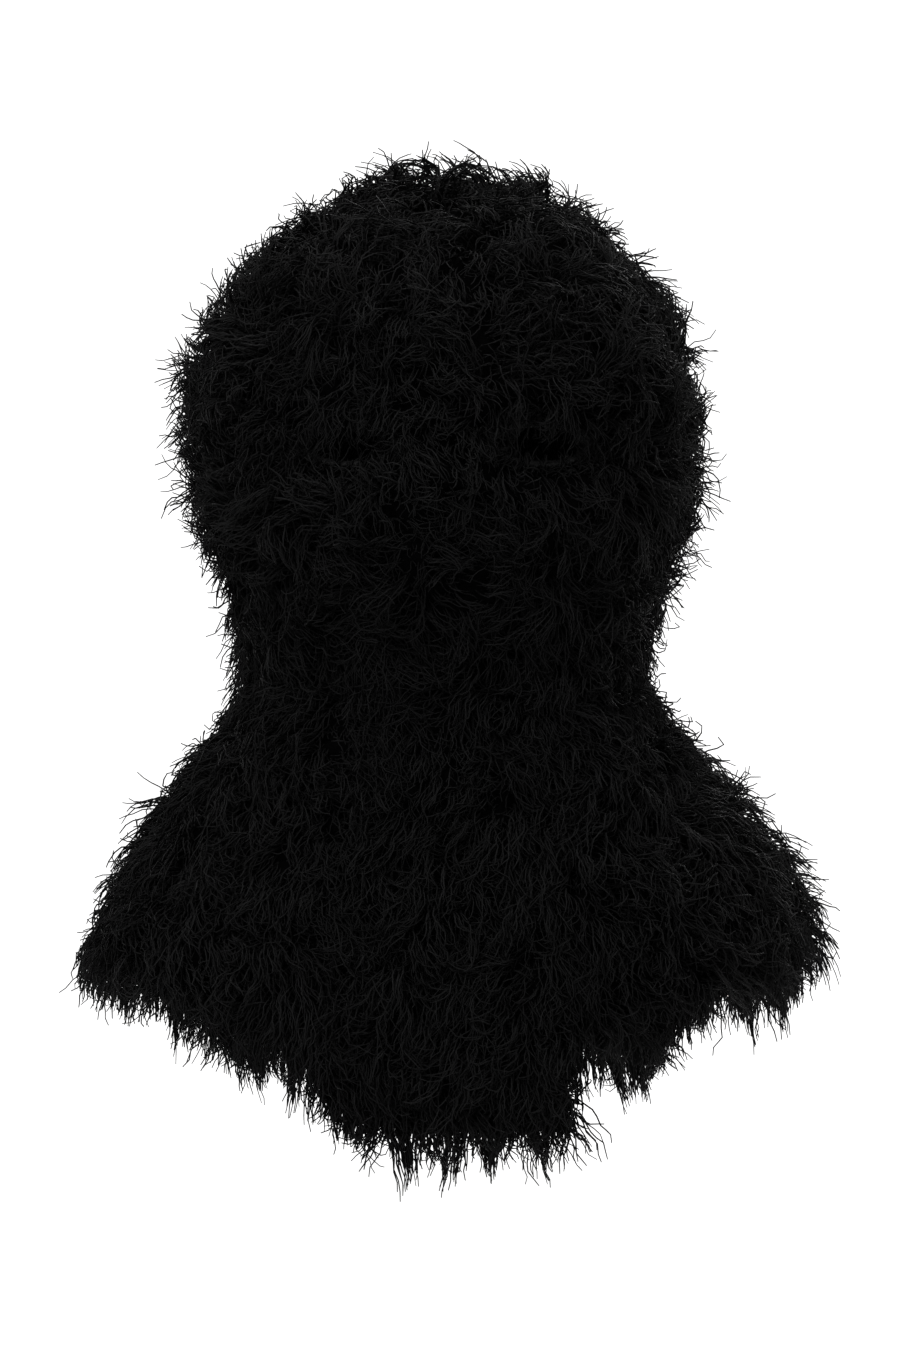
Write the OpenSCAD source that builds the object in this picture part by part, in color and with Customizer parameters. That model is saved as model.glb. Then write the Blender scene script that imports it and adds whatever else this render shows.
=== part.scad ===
// Shaggy knitted balaclava with eye openings and a shoulder cape, filled out as when it is worn.
// +Z is up and the face looks along -Y, so the wearer's left is on +X.
// The origin is the head seat: the inside of the crown, where the top of the head bears.

/* [Head] */
// Width of the knit across the head
head_w = 188; // [176:1:226]
// Reach of the knit ahead of the crown
head_front = 103; // [96:1:124]
// Reach of the knit behind the crown
head_back = 109; // [100:1:131]
// Drop from the crown to the widest level
wide_drop = 105; // [96:1:126]

/* [Neck] */
// Width of the knit at the narrowest level
neck_w = 147; // [122:1:177]
// Reach of the neck ahead of the crown
neck_front = 66; // [55:1:80]
// Reach of the neck behind the crown
neck_back = 74; // [61:1:89]
// Drop from the crown to the narrowest level
neck_drop = 208; // [200:1:214]

/* [Cape] */
// Width of the cape's knit where it hangs straight
cape_w = 315; // [262:1:378]
// Reach of the cape ahead of the crown
cape_front = 102; // [85:1:123]
// Reach of the cape behind the crown
cape_back = 108; // [90:1:130]
// Drop from the crown to where the cape hangs straight
cape_drop = 380; // [360:1:420]
// Drop from the crown to the hem at the side
side_hem = 323; // [305:1:335]
// Drop to the hem at the inner edge of an outer gore
outer_hem = 340; // [325:1:352]
// Drop to the hem at the inner edge of an inner gore
inner_hem = 358; // [345:1:375]
// Drop to the hem of the centre front tab
tab_hem = 398; // [370:1:430]
// Drop to the hem of the centre back panel
back_hem = 376; // [350:1:420]
// Angle from the centre line to the edge of the front tab
tab_angle = 17; // [13:1:24]
// Angle from the centre line to the edge of the inner gores
gore_angle = 41; // [34:1:52]
// Angle from the centre line to the edge of the back panel
back_angle = 36; // [24:1:50]

/* [Face] */
// Drop from the crown to the top of the face panel
brow_drop = 18; // [10:1:26]
// Angle from the centre line to the face panel's edge at the eyes
face_angle = 58; // [52:1:66]
// Angle from the centre line to the face panel's edge at the chin
chin_angle = 38; // [30:1:46]
// Height of the nose ridge
nose_rise = 9; // [4:1:14]
// Depth of the hollow round each eye
eye_dip = 5; // [2:1:8]
// Drop from the crown to the middle of the eyes
eye_drop = 101; // [95:1:106]
// Angle from the centre line to the middle of an eye opening
eye_angle = 25.5; // [23:0.5:28]
// Half width of an eye opening, as an angle
eye_reach = 16; // [13:0.5:18]
// Height of an eye opening
eye_h = 22; // [16:1:28]

/* [Cloth] */
// Thickness of the knit
knit_t = 3; // [2:0.2:4]
// Thickness of the fringe pile
pile_t = 22; // [12:1:26]
// Length of the tassels below a hem
tassel = 26; // [16:1:34]
// Width of the ribbed binding round an eye
rim_w = 3.4; // [2.4:0.2:4.4]
// How far the binding stands proud of the knit on each face
rim_proud = 0.9; // [0.4:0.1:1.5]
// Radius of a linked seam
seam_r = 1.2; // [0.8:0.1:1.6]

/* [Labels] */
// Thickness of a woven label
label_t = 0.6; // [0.4:0.1:1]
// Width of the nape label
nape_label_w = 42; // [30:1:50]
// Height of the nape label
nape_label_h = 16; // [10:1:20]
// Width of the care label
care_label_w = 22; // [16:1:30]
// Length of the care label
care_label_h = 36; // [24:1:44]

/* [Joints] */
// Drop from the crown to where the head turns on the neck
turn_drop = 200; // [194:1:205]
// Drop from the crown to where the neck nods on the yoke
nod_drop = 230; // [224:1:236]
// Drop from the crown to where the cape's halves lift from the yoke
lift_drop = 258; // [250:1:268]
// Clear gap between pieces on different bodies
joint_gap = 0.4; // [0.3:0.1:0.8]

/* [Hidden] */
// Gap between neighbouring pieces of one body
panel_gap = 0.2;
// Gap between the knit and a seam or a label on its inside
seam_gap = 0.3;
label_gap = 1.2;
// Rise of the nape label's top edge above where the head turns
nape_label_rise = 30;
// Angle of the care label, and how far below the yoke it starts
care_label_angle = 112;
care_label_inset = 8;
// Share of its thickness that the pile loses towards the tassels' tips
tip_thinning = 0.35;
// Fullness of a level section and of the crown: 2 is an ellipse
section_n = 2.2;
dome_n = 2.3;
// Levels, measured up from the head seat
z_wide = -wide_drop;
z_neck = -neck_drop;
z_cape = -cape_drop;
z_brow = -brow_drop;
z_eye = -eye_drop;
z_turn = -turn_drop;
z_nod = -nod_drop;
z_lift = -lift_drop;
crown_h = wide_drop + knit_t;
// Angle that keeps two neighbouring panels a panel gap apart
gap_angle = 180 * panel_gap / (PI * head_w / 2);
// Cells across each kind of panel
hood_cells = 10;
face_cells = 16;
band_cells = 32;
// Column and row ranges of the cells that an eye opening takes away, right eye first
eye_cols = [[2, 7], [9, 14]];
eye_rows = [5, 7];
// Cells down each band and each cape panel
band_rows = 3;
cape_rows = 8;

// ---- small helpers ----

function lerp(a, b, t) = a + (b - a) * t;
function share(t) = min(1, max(0, t));
function ease(t) = (1 - cos(180 * share(t))) / 2;
function flare(t) = sin(90 * pow(share(t), 1.05));
function signed_pow(c, p) = sign(c) * pow(abs(c), p);
function unit(v) = v / norm(v);
function bump(t) = exp(-t * t);
function down_rows(z_from, z_to, cells) = [for (k = [0 : cells]) lerp(z_from, z_to, k / cells)];

// ---- the form that every panel follows ----

// A size that runs from the head through the neck to the cape, at a level below the widest one
function down_body(z, head, neck, cape) =
    z > z_neck
        ? lerp(head, neck, ease((z_wide - z) / (z_wide - z_neck)))
        : lerp(neck, cape, flare((z_neck - z) / (z_neck - z_cape)));
function half_w(z) = down_body(z, head_w, neck_w, cape_w) / 2;
function front(z) = down_body(z, head_front, neck_front, cape_front);
function back(z) = down_body(z, head_back, neck_back, cape_back);

// A point of a level section, at an angle from the centre front towards the wearer's left
function section(th, w, f, b) =
    let (e = 2 / section_n)
    [w * signed_pow(sin(th), e), -(cos(th) > 0 ? f : b) * signed_pow(cos(th), e)];

// The nose ridge and the hollows round the eyes
function relief(th, z) =
    let (up = (z - z_eye) / 22)
    nose_rise * bump(th / 9) * bump(up + 0.5)
        - eye_dip * bump(up) * (bump((th - eye_angle) / 15) + bump((th + eye_angle) / 15));

// A point on the knit's outer face, or off it: outwards is positive
function cloth(th, z, off) =
    let (out = off + relief(th, z))
    z > z_wide
        ? let (c = share((z - z_wide) / crown_h),
               k = pow(1 - pow(c, dome_n), 1 / dome_n))
          concat(section(th, (head_w / 2 + out) * k, (head_front + out) * k, (head_back + out) * k),
                 z_wide + (crown_h + off) * c)
        : concat(section(th, half_w(z) + out, front(z) + out, back(z) + out), z);

// ---- sheets and cords ----

function in_hole(holes, i, j) =
    len([for (h = holes) if (i >= h[0] && i < h[1] && j >= h[2] && j < h[3]) 1]) > 0;

// A closed sheet between two grids of points, whose rows run down and columns towards the
// wearer's left. Holes are [first column, last column, first row, last row] of missing cells.
module sheet(outer, inner, ring = false, holes = []) {
    nj = len(outer) - 1;
    cols = len(outer[0]);
    ni = ring ? cols : cols - 1;
    n = cols * (nj + 1);
    function at(i, j) = j * cols + (i % cols);
    function open_at(i, j) =
        j < 0 || j >= nj || (!ring && (i < 0 || i >= ni)) || in_hole(holes, i, j);
    // Walls that face each other across a gap are split the same way, so the gap stays even
    function wall(p, q) = [[q, p, p + n], [q, p + n, q + n]];
    function facing_wall(p, q) = [[q, p, q + n], [p, p + n, q + n]];
    faces = [
        for (j = [0 : nj - 1], i = [0 : ni - 1])
            if (!in_hole(holes, i, j))
                let (a = at(i, j), b = at(i + 1, j), c = at(i + 1, j + 1), d = at(i, j + 1))
                each concat(
                    [[a, b, c], [a, c, d], [a + n, c + n, b + n], [a + n, d + n, c + n]],
                    open_at(i, j - 1) ? facing_wall(a, b) : [],
                    open_at(i + 1, j) ? facing_wall(b, c) : [],
                    open_at(i, j + 1) ? wall(c, d) : [],
                    open_at(i - 1, j) ? wall(d, a) : []
                )
    ];
    polyhedron(points = concat([for (row = outer) each row], [for (row = inner) each row]),
               faces = faces);
}

// A round cord along a path, with its ends closed unless it is a ring
module cord(path, r, ring = false) {
    sides = 6;
    n = len(path);
    function tangent(k) =
        ring ? unit(path[(k + 1) % n] - path[(k + n - 1) % n])
             : unit(path[min(n - 1, k + 1)] - path[max(0, k - 1)]);
    rings = [
        for (k = [0 : n - 1])
            let (t = tangent(k),
                 side = unit(cross(t, path[k] - [0, 0, z_wide])),
                 up = cross(side, t))
            [for (s = [0 : sides - 1])
                path[k] + r * (cos(360 * s / sides) * side + sin(360 * s / sides) * up)]
    ];
    last = ring ? n - 1 : n - 2;
    function at(k, s) = (k % n) * sides + (s % sides);
    skin = [
        for (k = [0 : last], s = [0 : sides - 1])
            each [[at(k, s), at(k, s + 1), at(k + 1, s + 1)],
                  [at(k, s), at(k + 1, s + 1), at(k + 1, s)]]
    ];
    ends = ring ? [] : [[for (s = [sides - 1 : -1 : 0]) at(0, s)],
                        [for (s = [0 : sides - 1]) at(n - 1, s)]];
    polyhedron(points = [for (row = rings) each row], faces = concat(skin, ends));
}

// ---- hood and face ----

psi_brow = acos(pow((z_brow - z_wide) / crown_h, dome_n / 2));
z_eye_top = z_eye + eye_h / 2;
z_eye_low = z_eye - eye_h / 2;
z_hood_end = z_turn + joint_gap / 2;
crown_rows = [for (k = [0 : 2]) z_wide + crown_h * pow(cos(psi_brow * k / 3), 2 / dome_n)];
face_rows = concat(
    [for (k = [0 : 4]) lerp(z_brow, z_eye_top, pow(k / 5, 1.3))],
    [z_eye_top, z_eye],
    [for (k = [0 : 5]) lerp(z_eye_low, z_hood_end, k / 5)]
);
hood_rows = concat(crown_rows, face_rows);

// The face panel's edge, as an angle from the centre front: an arch that narrows to the chin
function face_edge(z) =
    z > z_brow ? 0
    : z > z_eye_top
        ? let (t = (z_brow - z) / (z_brow - z_eye_top)) face_angle * sqrt(1 - pow(1 - t, 2))
        : lerp(face_angle, chin_angle, ease((z_eye_low - z) / (z_eye_low - z_hood_end)));

// The wearer's left side of the hood between two offsets from the knit's outer face
module hood_side(lo, hi) {
    function grid(off) = [
        for (z = hood_rows)
            [for (i = [0 : hood_cells])
                cloth(lerp(face_edge(z) + (z > z_brow ? 0 : gap_angle), 180, i / hood_cells), z, off)]
    ];
    translate([panel_gap / 2, 0, 0]) sheet(grid(hi), grid(lo));
}

// A point of an oval round an eye: p and q run from -1 to 1 on a square's edge
function eye_point(side, p, q, reach, h) =
    [side * eye_angle + p * sqrt(1 - q * q / 2) * reach, z_eye - q * sqrt(1 - p * p / 2) * h / 2];

// The face panel between two offsets, with an oval opening for each eye
module face_sheet(lo, hi, reach, h) {
    function spot(i, j) =
        let (side = i < face_cells / 2 ? -1 : 1,
             cols = eye_cols[side < 0 ? 0 : 1],
             p = (2 * i - cols[0] - cols[1]) / (cols[1] - cols[0]),
             q = (2 * j - eye_rows[0] - eye_rows[1]) / (eye_rows[1] - eye_rows[0]))
        max(abs(p), abs(q)) <= 1
            ? eye_point(side, p, q, reach, h)
            : [(2 * i / face_cells - 1) * face_edge(face_rows[j]), face_rows[j]];
    function grid(off) = [
        for (j = [0 : len(face_rows) - 1])
            [for (i = [0 : face_cells]) let (s = spot(i, j)) cloth(s[0], s[1], off)]
    ];
    holes = [for (cols = eye_cols) concat(cols, eye_rows)];
    sheet(grid(hi), grid(lo), holes = holes);
}

// The square's edge points, clockwise as seen from in front, that match the opening's own
function rim_square() =
    let (across = eye_cols[0][1] - eye_cols[0][0], down = eye_rows[1] - eye_rows[0])
    concat(
        [for (k = [0 : across - 1]) [2 * k / across - 1, -1]],
        [for (k = [0 : down - 1]) [1, 2 * k / down - 1]],
        [for (k = [0 : across - 1]) [1 - 2 * k / across, 1]],
        [for (k = [0 : down - 1]) [-1, 1 - 2 * k / down]]
    );

module eye_rim(side) {
    steps = 2;
    degree = 180 / (PI * head_w / 2);
    function grid(off) = [
        for (k = [0 : steps])
            let (cut = panel_gap + rim_w * k / steps)
            [for (s = rim_square())
                let (e = eye_point(side, s[0], s[1], eye_reach - cut * degree, eye_h - 2 * cut))
                cloth(e[0], e[1], off)]
    ];
    sheet(grid(rim_proud), grid(-knit_t - rim_proud), ring = true);
}

module knit_colour() { color([0.03, 0.03, 0.035]) children(); }
module fringe_colour() { color([0.06, 0.06, 0.065]) children(); }
module trim_colour() { color([0.1, 0.1, 0.11]) children(); }

module hood_left() { knit_colour() hood_side(-knit_t, 0); }
module hood_right() { mirror([1, 0, 0]) hood_left(); }
module fringe_hood_left() { fringe_colour() hood_side(panel_gap, pile_t); }
module fringe_hood_right() { mirror([1, 0, 0]) fringe_hood_left(); }
module face_panel() { knit_colour() face_sheet(-knit_t, 0, eye_reach, eye_h); }
module fringe_face() { fringe_colour() face_sheet(panel_gap, pile_t, eye_reach + 3, eye_h + 10); }
module eye_rim_left() { trim_colour() eye_rim(1); }
module eye_rim_right() { trim_colour() eye_rim(-1); }

// ---- seams, all linked on the inside of the knit ----

// How many millimetres a level offset takes to clear one, where the side leans
function lean(th, z) = z > z_wide ? 1 : norm(cloth(th, z - 1, 0) - cloth(th, z, 0));

// A point of a seam's centre line
function seam_point(th, z) = cloth(th, z, -knit_t - (seam_r + seam_gap) * lean(th, z));

module crown_seam() {
    up = [for (k = [len(crown_rows) : -1 : 1]) seam_point(0, hood_rows[k])];
    down = [for (z = hood_rows) seam_point(180, z)];
    trim_colour() cord(concat(up, down), seam_r);
}

module face_seam(side) {
    rows = [for (k = [1 : len(face_rows) - 1]) face_rows[k]];
    trim_colour() cord([for (z = rows) seam_point(side * face_edge(z), z)], seam_r);
}
module face_seam_left() { face_seam(1); }
module face_seam_right() { face_seam(-1); }

// A seam that runs down the form at one angle
module drop_seam(th, rows) { trim_colour() cord([for (z = rows) seam_point(th, z)], seam_r); }

// ---- labels, hung inside on the seams ----

// A label from its top edge down, held a clear distance inside the knit
module label(th, width, z_from, height, clear) {
    steps = 4;
    reach = width / 2 * 180 / (PI * head_w / 2);
    function grid(t) = [
        for (z = down_rows(z_from, z_from - height, steps))
            [for (i = [0 : steps])
                cloth(th + lerp(-reach, reach, i / steps), z, -knit_t - clear * lean(th, z) - t)]
    ];
    sheet(grid(0), grid(label_t));
}

module nape_label() {
    color([0.12, 0.12, 0.13])
        label(180, nape_label_w, z_turn + nape_label_rise, nape_label_h,
              2 * seam_r + seam_gap + panel_gap);
}
module care_label() {
    color([0.75, 0.75, 0.73])
        label(care_label_angle, care_label_w, z_lift - care_label_inset, care_label_h, label_gap);
}

// ---- neck band and yoke ----

module band(z_from, z_to, lo, hi) {
    function grid(off) = [
        for (z = down_rows(z_from - joint_gap / 2, z_to + joint_gap / 2, band_rows))
            [for (i = [0 : band_cells - 1]) cloth(360 * i / band_cells, z, off)]
    ];
    sheet(grid(hi), grid(lo), ring = true);
}

module neck_band() { knit_colour() band(z_turn, z_nod, -knit_t, 0); }
module fringe_neck() { fringe_colour() band(z_turn, z_nod, panel_gap, pile_t); }
module neck_seam() { drop_seam(180, down_rows(z_turn - joint_gap, z_nod + joint_gap, band_rows)); }
module yoke() { knit_colour() band(z_nod, z_lift, -knit_t, 0); }
module fringe_yoke() { fringe_colour() band(z_nod, z_lift, panel_gap, pile_t); }
module yoke_seam() {
    level = z_lift + seam_r + joint_gap;
    trim_colour()
        cord([for (i = [0 : band_cells - 1]) seam_point(360 * i / band_cells, level)],
             seam_r, ring = true);
}

// ---- cape ----

// The wearer's left edge of the front half stops this far short of the side line
side_angle = 90 - 180 * joint_gap / 2 / (PI * front(z_lift));

// One panel of the cape between two angles, whose hem slants between two drops.
// The pile has one more row, which hangs a tassel's length below the hem and is thinner.
module cape_panel(th_from, th_to, hem_from, hem_to, cells, lo, hi, below = 0) {
    function level(hem, j) =
        j > cape_rows ? hem - below : lerp(z_lift - joint_gap / 2, hem, j / cape_rows);
    function grid(off, tip) = [
        for (j = [0 : cape_rows + (below > 0 ? 1 : 0)])
            [for (i = [0 : cells])
                let (t = i / cells)
                cloth(lerp(th_from, th_to, t), level(-lerp(hem_from, hem_to, t), j),
                      j > cape_rows ? tip : off)]
    ];
    sheet(grid(hi, hi * (1 - tip_thinning)), grid(lo, lo));
}

half_gap = gap_angle / 2;

module knit_panel(th_from, th_to, hem_from, hem_to, cells) {
    knit_colour() cape_panel(th_from, th_to, hem_from, hem_to, cells, -knit_t, 0);
}
module fringe_panel(th_from, th_to, hem_from, hem_to, cells) {
    fringe_colour()
        cape_panel(th_from, th_to, hem_from, hem_to, cells, panel_gap, pile_t, tassel);
}

module front_tab() { knit_panel(-tab_angle + half_gap, tab_angle - half_gap, tab_hem, tab_hem, 4); }
module fringe_front_tab() {
    fringe_panel(-tab_angle + half_gap, tab_angle - half_gap, tab_hem, tab_hem, 4);
}
inner_middle = lerp(outer_hem, inner_hem, 0.6);
module front_inner_gore_left() {
    knit_panel(tab_angle + half_gap, gore_angle - half_gap, inner_hem, inner_middle, 2);
}
module front_inner_gore_right() { mirror([1, 0, 0]) front_inner_gore_left(); }
module fringe_front_inner_left() {
    fringe_panel(tab_angle + half_gap, gore_angle - half_gap, inner_hem, inner_middle, 2);
}
module fringe_front_inner_right() { mirror([1, 0, 0]) fringe_front_inner_left(); }
module front_outer_gore_left() {
    knit_panel(gore_angle + half_gap, side_angle, outer_hem, side_hem, 5);
}
module front_outer_gore_right() { mirror([1, 0, 0]) front_outer_gore_left(); }
module fringe_front_outer_left() {
    fringe_panel(gore_angle + half_gap, side_angle, outer_hem, side_hem, 5);
}
module fringe_front_outer_right() { mirror([1, 0, 0]) fringe_front_outer_left(); }
module back_panel() {
    knit_panel(180 - back_angle + half_gap, 180 + back_angle - half_gap, back_hem, back_hem, 6);
}
module fringe_back_panel() {
    fringe_panel(180 - back_angle + half_gap, 180 + back_angle - half_gap, back_hem, back_hem, 6);
}
back_middle = lerp(outer_hem, back_hem, 0.4);
module back_gore_left() {
    knit_panel(180 - side_angle, 180 - back_angle - half_gap, side_hem, back_middle, 5);
}
module back_gore_right() { mirror([1, 0, 0]) back_gore_left(); }
module fringe_back_left() {
    fringe_panel(180 - side_angle, 180 - back_angle - half_gap, side_hem, back_middle, 5);
}
module fringe_back_right() { mirror([1, 0, 0]) fringe_back_left(); }

seam_top = z_lift - joint_gap - seam_r / 2;
module cape_seam(th, hem) { drop_seam(th, down_rows(seam_top, -hem, cape_rows)); }
module tab_seam_left() { cape_seam(tab_angle, inner_hem); }
module tab_seam_right() { cape_seam(-tab_angle, inner_hem); }
module front_gore_seam_left() { cape_seam(gore_angle, outer_hem); }
module front_gore_seam_right() { cape_seam(-gore_angle, outer_hem); }
module back_seam_left() { cape_seam(180 - back_angle, back_middle); }
module back_seam_right() { cape_seam(180 + back_angle, back_middle); }

hood_left();
hood_right();
face_panel();
crown_seam();
face_seam_left();
face_seam_right();
eye_rim_left();
eye_rim_right();
fringe_hood_left();
fringe_hood_right();
fringe_face();
nape_label();
neck_band();
neck_seam();
fringe_neck();
yoke();
yoke_seam();
fringe_yoke();
front_tab();
front_inner_gore_left();
front_inner_gore_right();
front_outer_gore_left();
front_outer_gore_right();
tab_seam_left();
tab_seam_right();
front_gore_seam_left();
front_gore_seam_right();
fringe_front_tab();
fringe_front_inner_left();
fringe_front_inner_right();
fringe_front_outer_left();
fringe_front_outer_right();
back_panel();
back_gore_left();
back_gore_right();
back_seam_left();
back_seam_right();
fringe_back_panel();
fringe_back_left();
fringe_back_right();
care_label();
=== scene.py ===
"""A shaggy, fringe-knit balaclava: knit panels, linked seams, ribbed eye openings and a pile of cut yarn."""

import logging
import math
from collections.abc import Callable, Sequence
from dataclasses import dataclass, field
from enum import Enum

import bpy
import numpy as np
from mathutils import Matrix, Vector


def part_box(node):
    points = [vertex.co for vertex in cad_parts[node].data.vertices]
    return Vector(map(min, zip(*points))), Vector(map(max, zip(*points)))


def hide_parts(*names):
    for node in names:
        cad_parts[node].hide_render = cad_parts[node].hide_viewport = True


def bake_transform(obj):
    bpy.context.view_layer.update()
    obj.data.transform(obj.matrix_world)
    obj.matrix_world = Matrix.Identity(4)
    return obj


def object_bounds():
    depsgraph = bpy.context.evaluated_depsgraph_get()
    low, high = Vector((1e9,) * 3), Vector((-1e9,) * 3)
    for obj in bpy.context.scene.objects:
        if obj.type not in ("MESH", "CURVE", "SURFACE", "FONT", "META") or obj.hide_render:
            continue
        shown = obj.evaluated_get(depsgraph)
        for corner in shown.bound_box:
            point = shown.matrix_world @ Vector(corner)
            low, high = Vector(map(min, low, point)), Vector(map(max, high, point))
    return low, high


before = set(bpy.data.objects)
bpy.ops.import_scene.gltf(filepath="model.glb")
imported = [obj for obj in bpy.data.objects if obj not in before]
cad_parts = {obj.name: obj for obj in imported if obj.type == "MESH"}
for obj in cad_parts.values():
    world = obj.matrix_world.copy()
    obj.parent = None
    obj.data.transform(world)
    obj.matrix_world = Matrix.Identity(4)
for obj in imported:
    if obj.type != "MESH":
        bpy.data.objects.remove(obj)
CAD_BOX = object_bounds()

logging.basicConfig(level=logging.INFO, format="%(message)s")
log = logging.getLogger("balaclava")

Array = np.ndarray
Grown = tuple[Array, Array]
Edge = Callable[[Array], Array]
DOWN = np.array([0.0, 0.0, -1.0])
TURN = 2 * math.pi


# ---------------------------------------------------------------- choices


class Side(Enum):
    """The wearer's two sides, by the sign of X."""

    LEFT = 1
    RIGHT = -1


class Zone(Enum):
    """The stretches of cloth that bend across one joint each.

    Each holds its two bodies, and where the bend starts and ends.
    """

    HOOD = ("hood", "neck", (0.0, 0.0, -0.152), (0.0, 0.0, -0.200))
    NECK = ("neck", "yoke", (0.0, 0.0, -0.200), (0.0, 0.0, -0.250))
    FRONT = ("yoke", "front_cape", (0.0, -0.171, -0.171), (0.0, -0.230, -0.230))
    BACK = ("yoke", "back_cape", (0.0, 0.1745, -0.1745), (0.0, 0.232, -0.232))

    def bend(self, piece: bpy.types.Object) -> None:
        """Bakes a piece's placement into its mesh."""
        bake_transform(piece)


# ---------------------------------------------------------------- the worn form


def unit(v: Array) -> Array:
    """Returns vectors of length one along the last axis."""
    return v / np.maximum(np.linalg.norm(v, axis=-1, keepdims=True), 1e-12)


def ease(t: Array) -> Array:
    """Returns a smooth step of t, flat at 0 and 1."""
    t = np.clip(t, 0.0, 1.0)
    return t * t * (3.0 - 2.0 * t)


def signed_power(c: Array, p: float) -> Array:
    """Returns |c| to the power p, with the sign of c."""
    return np.sign(c) * np.abs(c) ** p


def whole_turn(th: Array) -> Array:
    """Returns angles in degrees brought between -180 and 180."""
    return (th + 180.0) % 360.0 - 180.0


def covered(points: Array, axis: int = 0) -> Array:
    """Returns the distance covered up to each point of the lines that run along one axis."""
    steps = np.linalg.norm(np.diff(points, axis=axis), axis=-1)
    return np.concatenate([np.zeros_like(np.take(steps, [0], axis=axis)), np.cumsum(steps, axis=axis)], axis)


def steady(angle: float) -> Edge:
    """Returns an edge that keeps one angle at every level."""
    return lambda z: np.full_like(np.asarray(z, float), angle)


@dataclass(frozen=True)
class Form:
    """The shape that every panel follows when it is worn, in metres and degrees.

    Angles run from the centre front towards the wearer's left.
    """

    head_half: float
    head_back: float
    crown: float
    z_turn: float
    z_nod: float
    z_lift: float
    tab_hem: float
    back_hem: float
    inner_hem: float
    outer_hem: float
    side_hem: float = -0.323
    head_front: float = 0.103
    neck_half: float = 0.0735
    neck_front: float = 0.066
    neck_back: float = 0.074
    cape_half: float = 0.1575
    cape_front: float = 0.102
    cape_back: float = 0.108
    z_wide: float = -0.105
    z_neck: float = -0.208
    z_cape: float = -0.380
    z_brow: float = -0.018
    z_eye: float = -0.101
    eye_angle: float = 25.5
    eye_reach: float = 16.0
    eye_half_height: float = 0.011
    nose_rise: float = 0.009
    nose_spread: float = 9.0
    eye_dip: float = 0.005
    eye_spread: float = 15.0
    relief_height: float = 0.022
    face_angle: float = 58.0
    chin_angle: float = 38.0
    tab_angle: float = 17.0
    gore_angle: float = 41.0
    side_angle: float = 90.0
    back_angle: float = 144.0
    section_power: float = 2.2
    dome_power: float = 2.3
    flare_power: float = 1.05
    dome_radius: float = 0.094
    knit: float = 0.003

    @classmethod
    def from_frame(cls) -> "Form":
        """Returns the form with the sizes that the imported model's boxes give."""
        hood_low, hood_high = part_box("hood_left")
        return cls(
            head_half=hood_high.x,
            head_back=hood_high.y,
            crown=hood_high.z,
            z_turn=hood_low.z,
            z_nod=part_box("neck_band")[0].z,
            z_lift=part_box("yoke")[0].z,
            tab_hem=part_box("front_tab")[0].z,
            back_hem=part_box("back_panel")[0].z,
            inner_hem=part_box("front_inner_gore_left")[0].z,
            outer_hem=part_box("front_outer_gore_left")[0].z,
        )

    @property
    def inner_gore_hem(self) -> float:
        """The front inner gore's hem at the outer gore."""
        return self.outer_hem + (self.inner_hem - self.outer_hem) * 0.6

    @property
    def back_gore_hem(self) -> float:
        """The back gore's hem at the back panel."""
        return self.outer_hem + (self.back_hem - self.outer_hem) * 0.4

    def down_body(self, z: Array, head: float, neck: float, cape: float) -> Array:
        """Returns a size that runs from the head through the neck to the cape, at levels below the widest."""
        upper = (1.0 - np.cos(math.pi * np.clip((self.z_wide - z) / (self.z_wide - self.z_neck), 0, 1))) / 2
        flare = np.clip((self.z_neck - z) / (self.z_neck - self.z_cape), 0, 1) ** self.flare_power
        lower = np.sin(math.pi / 2 * flare)
        return np.where(z > self.z_neck, head + (neck - head) * upper, neck + (cape - neck) * lower)

    def half_width(self, z: Array) -> Array:
        """Returns the knit's half width at levels below the widest."""
        return self.down_body(z, self.head_half, self.neck_half, self.cape_half)

    def reach(self, z: Array, ahead: Array) -> Array:
        """Returns how far the knit reaches along Y, ahead of the crown or behind it."""
        return np.where(
            ahead,
            self.down_body(z, self.head_front, self.neck_front, self.cape_front),
            self.down_body(z, self.head_back, self.neck_back, self.cape_back),
        )

    def relief(self, th: Array, z: Array) -> Array:
        """Returns how far the nose ridge stands out and the eye hollows dip in."""
        th = whole_turn(th)
        up = (z - self.z_eye) / self.relief_height
        eyes = (self.eye_angle, -self.eye_angle)
        left, right = (np.exp(-(((th - eye) / self.eye_spread) ** 2)) for eye in eyes)
        nose = np.exp(-((th / self.nose_spread) ** 2)) * np.exp(-((up + 0.5) ** 2))
        return self.nose_rise * nose - self.eye_dip * np.exp(-(up**2)) * (left + right)

    def point(self, th: Array, z: Array, off: Array | float = 0.0) -> Array:
        """Returns points on the knit's outer face, or off it.

        Args:
            th: Angles, in degrees.
            z: Levels on the outer face.
            off: Distance outwards.

        Returns:
            An array of points.
        """
        th, z, off = np.broadcast_arrays(np.asarray(th, float), np.asarray(z, float), np.asarray(off, float))
        out = off + self.relief(th, z)
        crown_h = self.crown - self.z_wide
        c = np.clip((z - self.z_wide) / crown_h, 0.0, 1.0)
        k = (1.0 - c**self.dome_power) ** (1.0 / self.dome_power)
        sin, cos = np.sin(np.radians(th)), np.cos(np.radians(th))
        e = 2.0 / self.section_power
        half = (self.half_width(z) + out) * k
        reach = (self.reach(z, cos > 0) + out) * k
        level = np.where(z > self.z_wide, z + off * c, z)
        return np.stack([half * signed_power(sin, e), -reach * signed_power(cos, e), level], axis=-1)

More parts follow.
